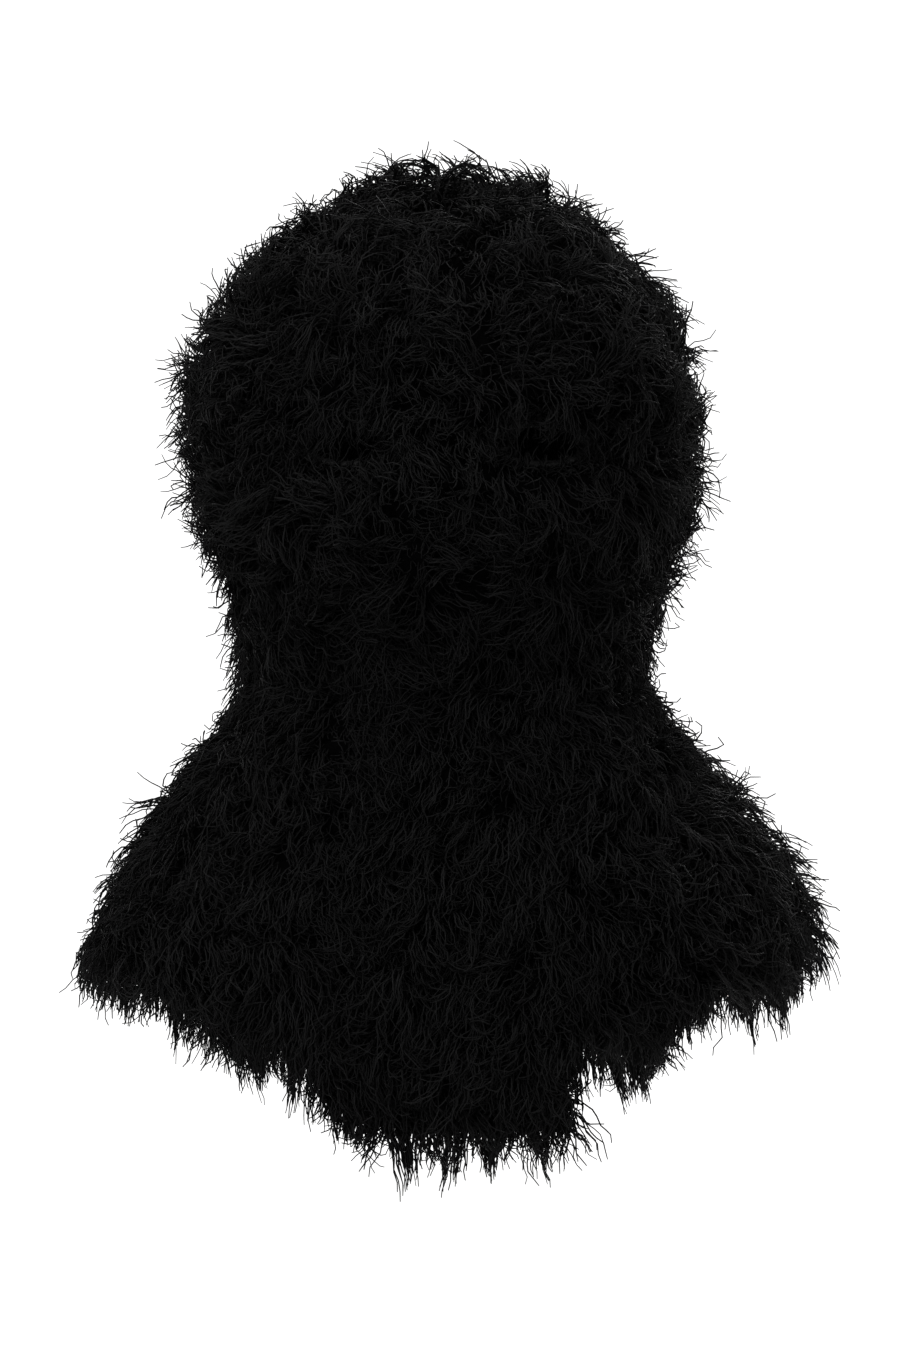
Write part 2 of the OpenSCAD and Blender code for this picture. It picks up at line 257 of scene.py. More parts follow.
    def scale(self, p: Array) -> Array:
        """Returns how large the form through each point is, against the knit's own outer face at 1."""
        x, y, z = p[..., 0], p[..., 1], p[..., 2]
        n, d = self.section_power, self.dome_power
        low = np.minimum(z, self.z_wide)
        q = ((np.abs(x) / self.half_width(low)) ** n + (np.abs(y) / self.reach(low, y < 0)) ** n) ** (1 / n)
        rise = np.clip((z - self.z_wide) / (self.crown - self.z_wide), 0.0, None)
        return (q**d + rise**d) ** (1 / d)

    def angle(self, p: Array) -> Array:
        """Returns the angles that points stand at, in degrees."""
        low = np.minimum(p[..., 2], self.z_wide)
        n = self.section_power / 2
        x = signed_power(p[..., 0] / self.half_width(low), n)
        y = signed_power(-p[..., 1] / self.reach(low, p[..., 1] < 0), n)
        return np.degrees(np.arctan2(x, y))

    def height(self, p: Array) -> Array:
        """Returns roughly how far points stand off the knit's outer face."""
        radius = np.linalg.norm(p - np.array([0, 0, 1]) * np.minimum(p[..., 2:], self.z_wide), axis=-1)
        scale = self.scale(p)
        return (scale - 1.0) * radius / np.maximum(scale, 1e-6) - self.relief(self.angle(p), p[..., 2])

    def normal(self, p: Array) -> Array:
        """Returns the outward direction at points near the knit."""
        h = 0.0005
        grad = [self.scale(p + h * axis) - self.scale(p - h * axis) for axis in np.eye(3)]
        return unit(np.stack(grad, axis=-1))

    def keep_off(self, p: Array, least: Array | float) -> Array:
        """Returns points moved out from the form's axis wherever they stand closer to the knit than least."""
        short = np.maximum(least - self.height(p), 0.0)
        return p + self.normal(p) * short[..., None]

    def levels(self, top: float, bottom: float, spacing: float) -> Array:
        """Returns levels that are evenly spaced along the side of the form, from top to bottom."""
        u = np.linspace(0.0, 1.0, 400)
        z = top + (bottom - top) * u * u if top > self.z_wide else top + (bottom - top) * u
        run = covered(self.point(90.0, z))
        count = max(2, int(round(run[-1] / spacing)) + 1)
        return np.interp(np.linspace(0, run[-1], count), run, z)

    def face_edge(self, z: Array) -> Array:
        """Returns the angle of the face panel's edge: an arch that narrows to the chin."""
        top, low = self.z_eye + self.eye_half_height, self.z_eye - self.eye_half_height
        t = np.clip((self.z_brow - z) / (self.z_brow - top), 0.0, 1.0)
        arch = self.face_angle * np.sqrt(np.maximum(0.0, 1.0 - (1.0 - t) ** 2))
        chin = (1.0 - np.cos(math.pi * np.clip((low - z) / (low - self.z_turn), 0, 1))) / 2
        return np.where(z > top, arch, self.face_angle + (self.chin_angle - self.face_angle) * chin)

    def eye_distance(self, th: Array, z: Array) -> Array:
        """Returns how far points of the face lie from the nearer eye's middle, 1 being the opening's edge."""
        across = (np.abs(whole_turn(th)) - self.eye_angle) / self.eye_reach
        return np.hypot(across, (z - self.z_eye) / self.eye_half_height)


# ---------------------------------------------------------------- shader expressions


def operator(operation: str, swap: bool = False) -> Callable[["Val", "Val | float"], "Val"]:
    """Returns a method that adds one kind of Math node on a value and another."""
    return lambda value, other: value.math(operation, other, swap=swap)


class Val:
    """A shader socket or a number that takes part in Python expressions, each of which adds its Math node."""

    def __init__(self, shader: "Shader", socket: bpy.types.NodeSocket | float) -> None:
        """Keeps the material that the socket belongs to."""
        self.shader = shader
        self.socket = socket

    def math(self, operation: str, *others: "Val | float", swap: bool = False) -> "Val":
        """Adds a Math node on this value and the others."""
        values = [self, *others]
        if swap:
            values.reverse()
        return self.shader.node("ShaderNodeMath", {"operation": operation}, dict(enumerate(values)))

    __add__ = __radd__ = operator("ADD")
    __sub__ = operator("SUBTRACT")
    __rsub__ = operator("SUBTRACT", swap=True)
    __mul__ = __rmul__ = operator("MULTIPLY")
    __truediv__ = operator("DIVIDE")
    __pow__ = operator("POWER")

    def sin(self) -> "Val":
        """Returns the sine."""
        return self.math("SINE")

    def abs(self) -> "Val":
        """Returns the size without its sign."""
        return self.math("ABSOLUTE")

    def clamp(self) -> "Val":
        """Returns the value held between 0 and 1."""
        return self.math("MAXIMUM", 0.0).math("MINIMUM", 1.0)


class Shader:
    """One material's node tree, with a Principled surface."""

    def __init__(self, name: str) -> None:
        """Starts a material with a name."""
        self.material = bpy.data.materials.new(name)
        self.material.use_nodes = True
        self.tree = self.material.node_tree
        self.surface = next(n for n in self.tree.nodes if n.type == "BSDF_PRINCIPLED")

    def node(
        self, kind: str, settings: dict | None = None, inputs: dict | None = None, out: int | str = 0
    ) -> Val:
        """Adds a node of any kind.

        Args:
            kind: The node's type.
            settings: Properties to set before the sockets.
            inputs: Values or links by socket name or number.
            out: The output to return.

        Returns:
            The chosen output.
        """
        made = self.tree.nodes.new(kind)
        for key, value in (settings or {}).items():
            setattr(made, key, value)
        for key, value in (inputs or {}).items():
            self.feed(made.inputs[key], value)
        return Val(self, made.outputs[out])

    def feed(self, socket: bpy.types.NodeSocket, value: Val | float | tuple) -> None:
        """Links a value into a socket, or sets it."""
        if isinstance(value, Val):
            self.tree.links.new(value.socket, socket)
        else:
            socket.default_value = value

    def set(self, **inputs: Val | float) -> None:
        """Feeds values into the Principled sockets, whose names have underscores here for spaces."""
        for key, value in inputs.items():
            self.feed(self.surface.inputs[key.replace("_", " ")], value)

    def mix(self, share: Val | float, a: Val | tuple, b: Val | tuple) -> Val:
        """Returns a colour mixed from two."""
        return self.node("ShaderNodeMix", {"data_type": "RGBA"}, {0: share, 6: a, 7: b}, 2)

    def uv(self, name: str) -> tuple[Val, Val]:
        """Returns the two coordinates of a named UV map."""
        made = self.node("ShaderNodeUVMap", {"uv_map": name})
        split = self.tree.nodes.new("ShaderNodeSeparateXYZ")
        self.feed(split.inputs[0], made)
        return Val(self, split.outputs[0]), Val(self, split.outputs[1])

    def noise(self, scale: float, detail: float = 3.0, roughness: float = 0.6) -> Val:
        """Returns smooth noise over the piece's own place, with scale in features a metre."""
        where = self.node("ShaderNodeTexCoord", out="Object")
        grain = {"Vector": where, "Scale": scale, "Detail": detail, "Roughness": roughness}
        return self.node("ShaderNodeTexNoise", None, grain)

    def wave(self, place: Val, length: float = 1.0) -> Val:
        """Returns a sine wave of a length along a coordinate, from 0 to 1."""
        return (place * (TURN / length)).sin() * 0.5 + 0.5

    def bump(self, height: Val, depth: float, strength: float = 1.0) -> None:
        """Feeds a bump of a depth in metres into the surface's normal."""
        made = self.node("ShaderNodeBump", None, {"Height": height, "Distance": depth, "Strength": strength})
        self.feed(self.surface.inputs["Normal"], made)


def grey(value: float, blue: float = 1.05) -> tuple[float, float, float, float]:
    """Returns a near-neutral linear colour with a trace of blue."""
    return (value, value, value * blue, 1.0)


@dataclass(frozen=True)
class Finish:
    """A procedural finish, with one specular level all over."""

    SPECULAR = 0.1

    def build(self, name: str) -> bpy.types.Material:
        """Returns the finish as a material with a name."""
        s = Shader(name)
        s.set(Specular_IOR_Level=self.SPECULAR)
        self.paint(s)
        return s.material

    def paint(self, s: Shader) -> None:
        """Lays out the nodes that vary over the surface."""
        raise NotImplementedError


@dataclass(frozen=True)
class YarnFinish(Finish):
    """Cut two-ply yarn: black, matt, each strand a shade of its own, paler at its frayed tip and darker
    towards its root, as painted shade deep in the pile.
    """

    dark: float = 0.0003
    light: float = 0.0027
    # How much paler the tip is than the root; the darker root is painted shade deep in the pile.
    tip: float = 1.2
    ply_length: float = 0.0028
    roughness: float = 0.60

    SPECULAR = 0.048

    def paint(self, s: Shader) -> None:
        """Lays out the nodes."""
        around, along = s.uv("Yarn")
        painted = ({"attribute_name": key} for key in ("tint", "tip"))
        tint, tip = (s.node("ShaderNodeAttribute", settings, out="Fac") for settings in painted)
        shade = (tint * 0.65 + s.noise(45.0) * 0.5 - 0.08).clamp() ** 1.6
        ply = s.wave(along / self.ply_length + around)
        # Painted shade: the light end grows paler towards the tip, so the root deep in the pile stays darker.
        light = s.mix(tip ** 2.0, grey(self.light), grey(self.light * self.tip))
        # Painted shade: the colour darkens in the groove between the two plies, following the ply bump.
        colour = s.mix(shade * (0.55 + 0.45 * ply), grey(self.dark), light)
        s.set(Base_Color=colour, Roughness=self.roughness + 0.22 * (1 - ply) - 0.1 * tint)
        s.bump(ply, 0.00022, 0.8)


@dataclass(frozen=True)
class MattedShadeFinish(Finish):
    """The matted roots of the pile, as fibre coloured near black: painted shade deep in the pile, between the
    strands.
    """

    dark: float = 0.0002
    light: float = 0.0008

    SPECULAR = 0.004

    def paint(self, s: Shader) -> None:
        """Lays out the nodes."""
        where = s.node("ShaderNodeTexCoord", out="Object")
        stretch = s.node("ShaderNodeMapping", None, {"Vector": where, "Scale": (1.0, 1.0, 0.35)})
        grain = {"Vector": stretch, "Scale": 620.0, "Detail": 4.0, "Distortion": 1.4}
        fibre = s.node("ShaderNodeTexNoise", None, grain)
        lock = s.noise(130.0)
        # Near-black colour: painted shade for the depths of the pile, seen between the strands.
        colour = s.mix((fibre * lock * 1.6).clamp(), grey(self.dark), grey(self.light))
        s.set(Base_Color=colour, Roughness=0.8 + 0.15 * fibre)
        s.bump(fibre + 2.0 * lock, 0.0012)


@dataclass(frozen=True)
class KnitFinish(Finish):
    """Plain knit in black yarn: wales of V-shaped stitches, painted darker in the furrows between them as
    shade.
    """

    wale: float = 0.0042
    course: float = 0.0034
    dark: float = 0.0007
    light: float = 0.0038

    SPECULAR = 0.035

    def paint(self, s: Shader) -> None:
        """Lays out the nodes."""
        across, down = s.uv("Cloth")
        column = (across * (TURN / self.wale)).sin().abs()
        lean = (across * (TURN / 2 / self.wale)).sin().abs() * 1.1
        relief = column * (0.45 + 0.55 * s.wave(down / self.course + lean))
        fuzz = s.noise(900.0)
        # Painted shade: the colour is lighter on the raised stitches and darker in the furrows between them.
        colour = s.mix((relief * (0.6 + 0.5 * fuzz)).clamp(), grey(self.dark), grey(self.light))
        s.set(Base_Color=colour, Roughness=0.9 - 0.18 * relief)
        s.bump(relief + 0.25 * fuzz, 0.0009)


@dataclass(frozen=True)
class ThreadFinish(Finish):
    """Twisted thread, used for seams, bindings and stitches."""

    light: float = 0.008
    twist: float = 900.0

    SPECULAR = 0.12

    def paint(self, s: Shader) -> None:
        """Lays out the nodes."""
        fuzz = s.noise(self.twist)
        shade = (fuzz * 0.7 + s.noise(70.0) * 0.5 - 0.2).clamp()
        s.set(Base_Color=s.mix(shade, grey(self.light * 0.35), grey(self.light)), Roughness=0.85 - 0.2 * fuzz)
        s.bump(fuzz, 0.0003)


@dataclass(frozen=True)
class TapeFinish(Finish):
    """Woven label tape, blank, with a fine satin weave."""

    dark: tuple[float, float, float, float]
    light: tuple[float, float, float, float]
    pick: float = 0.0005

    SPECULAR = 0.4

    def paint(self, s: Shader) -> None:
        """Lays out the nodes."""
        s.set(Sheen_Weight=0.1)
        warp, weft = (s.wave(thread, self.pick) for thread in s.uv("Cloth"))
        weave = warp * 0.6 + weft * 0.4
        shade = (weave * 0.7 + s.noise(160.0) * 0.3).clamp()
        s.set(Base_Color=s.mix(shade, self.dark, self.light), Roughness=0.62 - 0.2 * warp)
        s.bump(weave, 0.00012)


@dataclass(frozen=True)
class FloorFinish(Finish):
    """A plain pale studio floor."""

    dark: tuple[float, float, float, float] = (0.86, 0.86, 0.86, 1.0)
    light: tuple[float, float, float, float] = (1.0, 1.0, 1.0, 1.0)

    def paint(self, s: Shader) -> None:
        """Lays out the nodes."""
        colour = s.mix(s.noise(1.5) * 0.3, self.dark, self.light)
        s.set(Base_Color=colour, Roughness=0.9 - 0.05 * s.noise(3.0))


# ---------------------------------------------------------------- mesh helpers


@dataclass
class MeshParts:
    """Vertices, faces and what is painted on them, gathered before one mesh is made."""

    points: list[Array] = field(default_factory=list)
    corners: list[Array] = field(default_factory=list)
    sizes: list[Array] = field(default_factory=list)
    maps: dict[str, list[Array]] = field(default_factory=dict)
    paint: dict[str, list[Array]] = field(default_factory=dict)
    finish: list[Array] = field(default_factory=list)
    count: int = 0

    def add(
        self,
        points: Array,
        faces: Sequence[Array],
        maps: dict[str, Sequence[Array]] | None = None,
        paint: dict[str, Array] | None = None,
        finish: int = 0,
    ) -> None:
        """Adds a shape.

        Args:
            points: An array of points.
            faces: Arrays of faces, each with one number of corners, as point numbers.
            maps: UV coordinates of each face array's corners, by map name.
            paint: One value a point, by attribute name.
            finish: The material's number.
        """
        for number, group in enumerate(faces):
            self.corners.append((group + self.count).ravel())
            self.sizes.append(np.full(len(group), group.shape[1]))
            self.finish.append(np.full(len(group), finish))
            for key, values in (maps or {}).items():
                self.maps.setdefault(key, []).append(values[number].reshape(-1, 2))
        for key, values in (paint or {}).items():
            self.paint.setdefault(key, []).append(values.ravel())
        self.points.append(points.reshape(-1, 3))
        self.count += points.size // 3

    def build(
        self, name: str, materials: Sequence[bpy.types.Material], smooth: bool = True
    ) -> bpy.types.Object:
        """Returns one object made from everything that was added."""
        mesh = bpy.data.meshes.new(name)
        points, corners, sizes = map(np.concatenate, (self.points, self.corners, self.sizes))
        mesh.vertices.add(len(points))
        mesh.vertices.foreach_set("co", points.astype(np.float32).ravel())
        mesh.loops.add(len(corners))
        mesh.loops.foreach_set("vertex_index", corners.astype(np.int32))
        mesh.polygons.add(len(sizes))
        mesh.polygons.foreach_set("loop_start", np.concatenate([[0], np.cumsum(sizes)[:-1]]).astype(np.int32))
        mesh.polygons.foreach_set("material_index", np.concatenate(self.finish).astype(np.int32))
        mesh.polygons.foreach_set("use_smooth", np.full(len(sizes), smooth))
        for key, values in self.maps.items():
            layer = mesh.uv_layers.new(name=key)
            layer.data.foreach_set("uv", np.concatenate(values).astype(np.float32).ravel())
        for key, values in self.paint.items():
            layer = mesh.attributes.new(key, "FLOAT", "POINT")
            layer.data.foreach_set("value", np.concatenate(values).astype(np.float32))
        for material in materials:
            mesh.materials.append(material)
        mesh.update(calc_edges=True)
        mesh.validate()
        made = bpy.data.objects.new(name, mesh)
        bpy.context.collection.objects.link(made)
        return made


def grid_faces(rows: int, cols: int, keep: Array | None = None) -> Array:
    """Returns the cells of a grid of points as quads, clockwise as seen from in front of a sheet.

    Args:
        rows: Rows of points.
        cols: Columns of points.
        keep: Which cells to keep.

    Returns:
        An array of quads.
    """
    j, i = np.meshgrid(np.arange(rows - 1), np.arange(cols - 1), indexing="ij")
    a = j * cols + i
    quads = np.stack([a, a + cols, a + cols + 1, a + 1], axis=-1)
    return quads[keep] if keep is not None else quads.reshape(-1, 4)


def cell_corners(grid: Array) -> Array:
    """Returns what a grid holds at the four corners of each of its cells."""
    return np.stack([grid[:-1, :-1], grid[1:, :-1], grid[:-1, 1:], grid[1:, 1:]])


def closed_sheet(parts: MeshParts, outer: Array, inner: Array, keep: Array | None = None) -> None:
    """Adds a closed sheet between two grids of points, with walls along every open edge.

    Args:
        parts: What the sheet is added to.
        outer: The outer grid, as rows, columns and three coordinates.
        inner: The inner grid.
        keep: Which cells exist.
    """
    rows, cols = outer.shape[:2]
    front = grid_faces(rows, cols, keep)
    n = rows * cols
    edges = np.concatenate([front[:, [k, (k + 1) % 4]] for k in range(4)])
    key = np.minimum(edges[:, 0], edges[:, 1]) * n + np.maximum(edges[:, 0], edges[:, 1])
    _, first, uses = np.unique(key, return_index=True, return_counts=True)
    rim = edges[first[uses == 1]]
    walls = np.stack([rim[:, 1], rim[:, 0], rim[:, 0] + n, rim[:, 1] + n], axis=1)
    across, down = covered(outer, 1), covered(outer, 0)
    across = across - across.mean(axis=1, keepdims=True)
    cloth = np.tile(np.stack([across, down], axis=-1).reshape(-1, 2), (2, 1))
    faces = [front, front[:, ::-1] + n, walls]
    points = np.concatenate([outer.reshape(-1, 3), inner.reshape(-1, 3)])
    parts.add(points, faces, {"Cloth": [cloth[group] for group in faces]})


def tube_faces(count: int, rings: int, sides: int) -> list[Array]:
    """Returns the faces of many tubes that close to a point at both ends.

    Each tube's points are its root point, its rings in order and its tip point.

    Args:
        count: How many tubes.
        rings: Rings on each tube.
        sides: Points on each ring.

    Returns:
        Quads, then triangles.
    """
    s = np.arange(sides)
    turn = (s + 1) % sides
    ring = 1 + np.arange(rings - 1)[:, None] * sides
    quads = np.stack([ring + s, ring + turn, ring + sides + turn, ring + sides + s], -1)
    last = 1 + (rings - 1) * sides
    root = np.stack([np.zeros(sides, int), 1 + turn, 1 + s], -1)
    tip = np.stack([np.full(sides, 1 + rings * sides), last + s, last + turn], -1)
    start = (np.arange(count) * (rings * sides + 2))[:, None, None]
    return [
        (quads.reshape(1, -1, 4) + start).reshape(-1, 4),
        (np.concatenate([root, tip])[None] + start).reshape(-1, 3),
    ]


def tube_points(path: Array, radius: Array, sides: int) -> Array:
    """Returns the points of tubes: a root point, the rings in order and a tip point for each.

    Args:
        path: Points, as tubes, rings and three coordinates.
        radius: Radii, as tubes and rings.
        sides: Points on each ring.

    Returns:
        Points, as tubes, points and three coordinates.
    """
    count, rings = path.shape[:2]
    after = np.concatenate([path[:, 1:], path[:, -1:]], 1)
    before = np.concatenate([path[:, :1], path[:, :-1]], 1)
    ahead = unit(after - before)
    elsewhere = np.roll(ahead[:, 0], 1, axis=-1) + np.array([0.31, 0.17, 0.11])
    side = unit(np.cross(ahead[:, 0], unit(elsewhere)))
    points = np.empty((count, rings * sides + 2, 3))
    points[:, 0] = path[:, 0] - ahead[:, 0] * radius[:, :1] * 0.5
    points[:, -1] = path[:, -1] + ahead[:, -1] * radius[:, -1:] * 0.9
    turns = TURN * np.arange(sides) / sides
    for k in range(rings):
        side = unit(side - ahead[:, k] * np.sum(side * ahead[:, k], axis=1, keepdims=True))
        up = np.cross(ahead[:, k], side)
        ring = np.cos(turns)[None, :, None] * side[:, None] + np.sin(turns)[None, :, None] * up[:, None]
        points[:, 1 + k * sides : 1 + (k + 1) * sides] = path[:, k, None] + ring * radius[:, k, None, None]
    return points


def add_tubes(
    parts: MeshParts, path: Array, radius: Array, sides: int, tint: Array, boxed: bool = True
) -> None:
    """Adds tubes of yarn along many paths at once.

    Args:
        parts: What the tubes are added to.
        path: Points, as tubes, rings and three coordinates.
        radius: Radii, as tubes and rings.
        sides: Points on each ring.
        tint: One shade a tube, from 0 to 1.
        boxed: Whether they also get the map that gives each tube a small box of its own.
    """
    count, rings = path.shape[:2]
    yarn, bake = tube_maps(count, rings, sides, covered(path, 1))
    share = np.concatenate([[0.0], np.repeat(np.linspace(0, 1, rings), sides), [1.0]])
    parts.add(
        tube_points(path, radius, sides),
        tube_faces(count, rings, sides),
        {"Yarn": yarn, "OFBake": bake} if boxed else {"Yarn": yarn},
        {"tint": np.repeat(tint, rings * sides + 2), "tip": np.tile(share, count)},
    )


def tube_maps(count: int, rings: int, sides: int, run: Array) -> tuple[list[Array], list[Array]]:
    """Returns two UV maps of many tubes' corners.

    Args:
        count: How many tubes.
        rings: Rings on each tube.
        sides: Points on each ring.
        run: The length of yarn to each ring.

    Returns:
        The yarn's own map, in turns round the strand and metres along it, and a map that gives each tube a
        small box of its own.
    """
    k, s = np.meshgrid(np.arange(rings - 1), np.arange(sides), indexing="ij")
    ring = np.stack([k, k, k + 1, k + 1], -1).reshape(-1)
    turn = np.stack([s, s + 1, s + 1, s], -1).reshape(-1)
    cap_ring = np.concatenate([np.tile([0, 0, 0], sides), np.tile([rings - 1] * 3, sides)])
    s = np.arange(sides)
    caps = ([s + 0.5, s + 1, s], [s + 0.5, s, s + 1])
    cap_turn = np.concatenate([np.stack(corners, -1).ravel() for corners in caps])
    cap_place = np.concatenate([np.tile([-0.45, 0, 0], sides), np.tile([0.45, 0, 0], sides)])
    yarn, bake = [], []
    cells = math.ceil(math.sqrt(count))
    index = np.arange(count)
    corner = np.stack([index % cells, index // cells], -1) / cells
    for rings_at, turns_at, place in ((ring, turn, 0.0), (cap_ring, cap_turn, cap_place)):
        around = np.broadcast_to(turns_at / sides, (count, len(turns_at)))
        yarn.append(np.stack([around, run[:, rings_at]], -1).reshape(-1, 2))
        v = np.broadcast_to((rings_at + place + 0.5) / rings, around.shape)
        box = np.stack([around, v], -1) * 0.86 + 0.07
        bake.append((corner[:, None] + box / cells).reshape(-1, 2))
    return yarn, bake


# ---------------------------------------------------------------- knit panels


def settle(piece: bpy.types.Object, node: str, zone: Zone) -> bpy.types.Object:
    """Hides the CAD node that a piece stands for and bakes the piece's placement into its mesh.

    Args:
        piece: The piece.
        node: The CAD node that it stands for.
        zone: Its zone, which bakes its placement.

    Returns:
        The piece.
    """
    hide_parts(node)
    zone.bend(piece)
    return piece


@dataclass
class Panel:
    """One panel of knit, from one edge to the other, and from its top to a hem that may slant.

    Attributes:
        name: The CAD node of the knit.
        fringe: The CAD node of its pile.
        zone: The zone that it belongs to.
        start, stop: The angles of its two edges by level.
        top: Its highest level.
        hem: The hem's level at each edge.
        eyes: Whether the eye openings are cut in it.
        free_hem: Whether the lower edge is a loose hem with tassels.
        free_below: The level below which the two side edges are loose too.
        corners: How far the hem rises at its two ends.
        CELL: Distance between the knit's points.
        WALE_DEPTH: How far the wales stand out.
        ROLL, ROLL_HEIGHT: How far a loose hem rolls outwards, and over what height.
        CORNER: The share of the hem that a corner takes up.
        RIM: How near the eyes' middles cells are drawn out to the openings' edges, 1 being the edge.
        ROOM: How near the eyes' middles tufts are latched.
    """

    name: str
    fringe: str
    zone: Zone
    start: Edge
    stop: Edge
    top: float
    hem: tuple[float, float]
    eyes: bool = False
    free_hem: bool = False
    free_below: float = -1.0
    corners: tuple[float, float] = (0.0, 0.0)

    CELL = 0.0024
    WALE_DEPTH = 0.00035
    ROLL = 0.0022
    ROLL_HEIGHT = 0.009
    CORNER = 0.45
    RIM = 0.55
    ROOM = 1.12

    def hem_at(self, t: Array) -> Array:
        """Returns the hem's level at shares of the way from the first edge to the second."""
        rises = (np.clip(1.0 - along / self.CORNER, 0.0, 1.0) ** 2 for along in (t, 1.0 - t))
        straight = self.hem[0] + (self.hem[1] - self.hem[0]) * t
        return straight + sum(rise * end for rise, end in zip(rises, self.corners))

    def grid(self, form: Form, cell: float) -> tuple[Array, Array]:
        """Returns the angles and levels of a grid of points about a cell apart."""
        low = min(self.hem)
        z = form.levels(self.top, low, cell)
        radius = np.where(z > form.z_wide, form.dome_radius, form.half_width(z))
        span = np.max(np.abs(self.stop(z) - self.start(z)) * radius)
        cols = max(5, int(math.radians(span) / cell) + 1)
        t = np.linspace(0.0, 1.0, cols)
        hem = self.hem_at(t)
        level = self.top + (z[:, None] - self.top) * ((hem[None] - self.top) / (low - self.top))
        th = self.start(level) + (self.stop(level) - self.start(level)) * t[None]
        return th, level

    def knit(self, form: Form, material: bpy.types.Material) -> bpy.types.Object:
        """Args:
            form: The worn form.
            material: The knit's finish.

        Returns:
            The piece.
        """
        th, z = self.grid(form, self.CELL)
        keep = np.ones((th.shape[0] - 1, th.shape[1] - 1), bool)
        if self.eyes:
            th, z, keep = self.open_eyes(form, th, z)
        across = np.linspace(0, 1, th.shape[1])[None]
        wale = self.WALE_DEPTH * np.sin(across * th.shape[1] * self.CELL / KnitFinish.wale * math.pi * 2)
        outer = form.point(th, z, wale)
        inner = form.point(th, z, -form.knit + wale)
        if self.free_hem:
            roll = ease(1.0 - (z - z[-1:]) / self.ROLL_HEIGHT)[..., None]
            out = form.normal(outer)
            outer, inner = outer + out * roll * self.ROLL, inner - out * roll * self.ROLL * 0.4
        parts = MeshParts()
        closed_sheet(parts, outer, inner, keep)
        piece = parts.build(self.name + "_cloth", [material])
        width, length = (float(np.max(covered(outer, axis))) for axis in (1, 0))
        a, b, c, _ = cell_corners(outer)
        area = float(np.sum(np.linalg.norm(np.cross(b - a, c - a), axis=2)[keep]))
        self.flat = (round(width, 3), round(length, 3), round(min(area, 0.999 * width * length), 4))
        return settle(piece, self.name, self.zone)

    def open_eyes(self, form: Form, th: Array, z: Array) -> tuple[Array, Array, Array]:
        """Returns the grid with the openings' edges drawn smooth, and the cells that are left."""
        far = form.eye_distance(th, z)
        inside = far < 1.0
        keep = ~cell_corners(inside).all(axis=0)
        edge = inside & (far > self.RIM)
        side = np.sign(th) + (th == 0)
        grow = np.where(edge, 1.0 / np.maximum(far, 1e-6), 1.0)
        th = side * (form.eye_angle + (np.abs(th) - form.eye_angle) * grow)
        z = form.z_eye + (z - form.z_eye) * grow
        return th, z, keep

    def roots(self, form: Form, spacing: float, rng: np.random.Generator) -> tuple[Array, Array]:
        """Returns the angles and levels where tufts are latched: in courses, a little uneven."""
        low = float(np.min(self.hem_at(np.linspace(0, 1, 20))))
        z = form.levels(self.top - spacing * 0.3, low, spacing)
        angles, levels = [], []
        for row, level in enumerate(z[:-1]):
            a, b = float(self.start(level)), float(self.stop(level))
            length = float(covered(form.point(np.linspace(a, b, 40), level))[-1])
            count = max(1, int(round(length / spacing)))
            t = (np.arange(count) + 0.25 + 0.5 * (row % 2)) / count + rng.normal(0, 0.22 / count, count)
            angles.append(a + (b - a) * np.clip(t, 0, 1))
            levels.append(level + rng.normal(0, spacing * 0.2, count))
        th, level = np.concatenate(angles), np.concatenate(levels)
        t = (th - self.start(level)) / np.maximum(np.abs(self.stop(level) - self.start(level)), 1e-3)
        fine = level > self.hem_at(np.clip(t, 0, 1))
        if self.eyes:
            fine &= form.eye_distance(th, level) > self.ROOM
        return th[fine], level[fine]


def cape_panels(form: Form) -> list[Panel]:
    """Returns the cape's panels, front and back, on both sides."""
    tab, gore, side, back = form.tab_angle, form.gore_angle, form.side_angle, form.back_angle
    edges = {
        "front_tab": (Zone.FRONT, -tab, tab, (form.tab_hem,) * 2),
        "back_panel": (Zone.BACK, back, 360 - back, (form.back_hem,) * 2),
        "front_inner_gore_left": (Zone.FRONT, tab, gore, (form.inner_hem, form.inner_gore_hem)),
        "front_outer_gore_left": (Zone.FRONT, gore, side, (form.outer_hem, form.side_hem)),
        "back_gore_left": (Zone.BACK, side, back, (form.side_hem, form.back_gore_hem)),
    }
    for name, (zone, near, far, hem) in list(edges.items())[2:]:
        edges[name.replace("left", "right")] = (zone, -far, -near, hem[::-1])
    panels = []
    for name, (zone, start, stop, hem) in edges.items():
        fringe = "fringe_" + name.replace("_gore", "")
        panels.append(
            Panel(name, fringe, zone, steady(start), steady(stop), form.z_lift, hem, free_hem=True)
        )
        if name == "front_tab":
            panels[-1].free_below = form.inner_hem
            panels[-1].corners = (0.014, 0.0)
        if name == "front_inner_gore_right":
            panels[-1].corners = (0.0, -0.012)
    return panels


def body_panels(form: Form) -> list[Panel]:
    """Returns the hood's sides, the face panel, the neck band and the yoke."""
    back, front = (steady(-180.0), steady(180.0)), (lambda z: -form.face_edge(z), form.face_edge)
    turn, nod, lift = ((level,) * 2 for level in (form.z_turn, form.z_nod, form.z_lift))
    return [
        Panel("hood_left", "fringe_hood_left", Zone.HOOD, front[1], back[1], form.crown, turn),
        Panel("hood_right", "fringe_hood_right", Zone.HOOD, back[0], front[0], form.crown, turn),
        Panel("face_panel", "fringe_face", Zone.HOOD, *front, form.z_brow, turn, eyes=True),
        Panel("neck_band", "fringe_neck", Zone.NECK, *back, form.z_turn, nod),
        Panel("yoke", "fringe_yoke", Zone.NECK, *back, form.z_nod, lift),
    ]


# ---------------------------------------------------------------- fringe


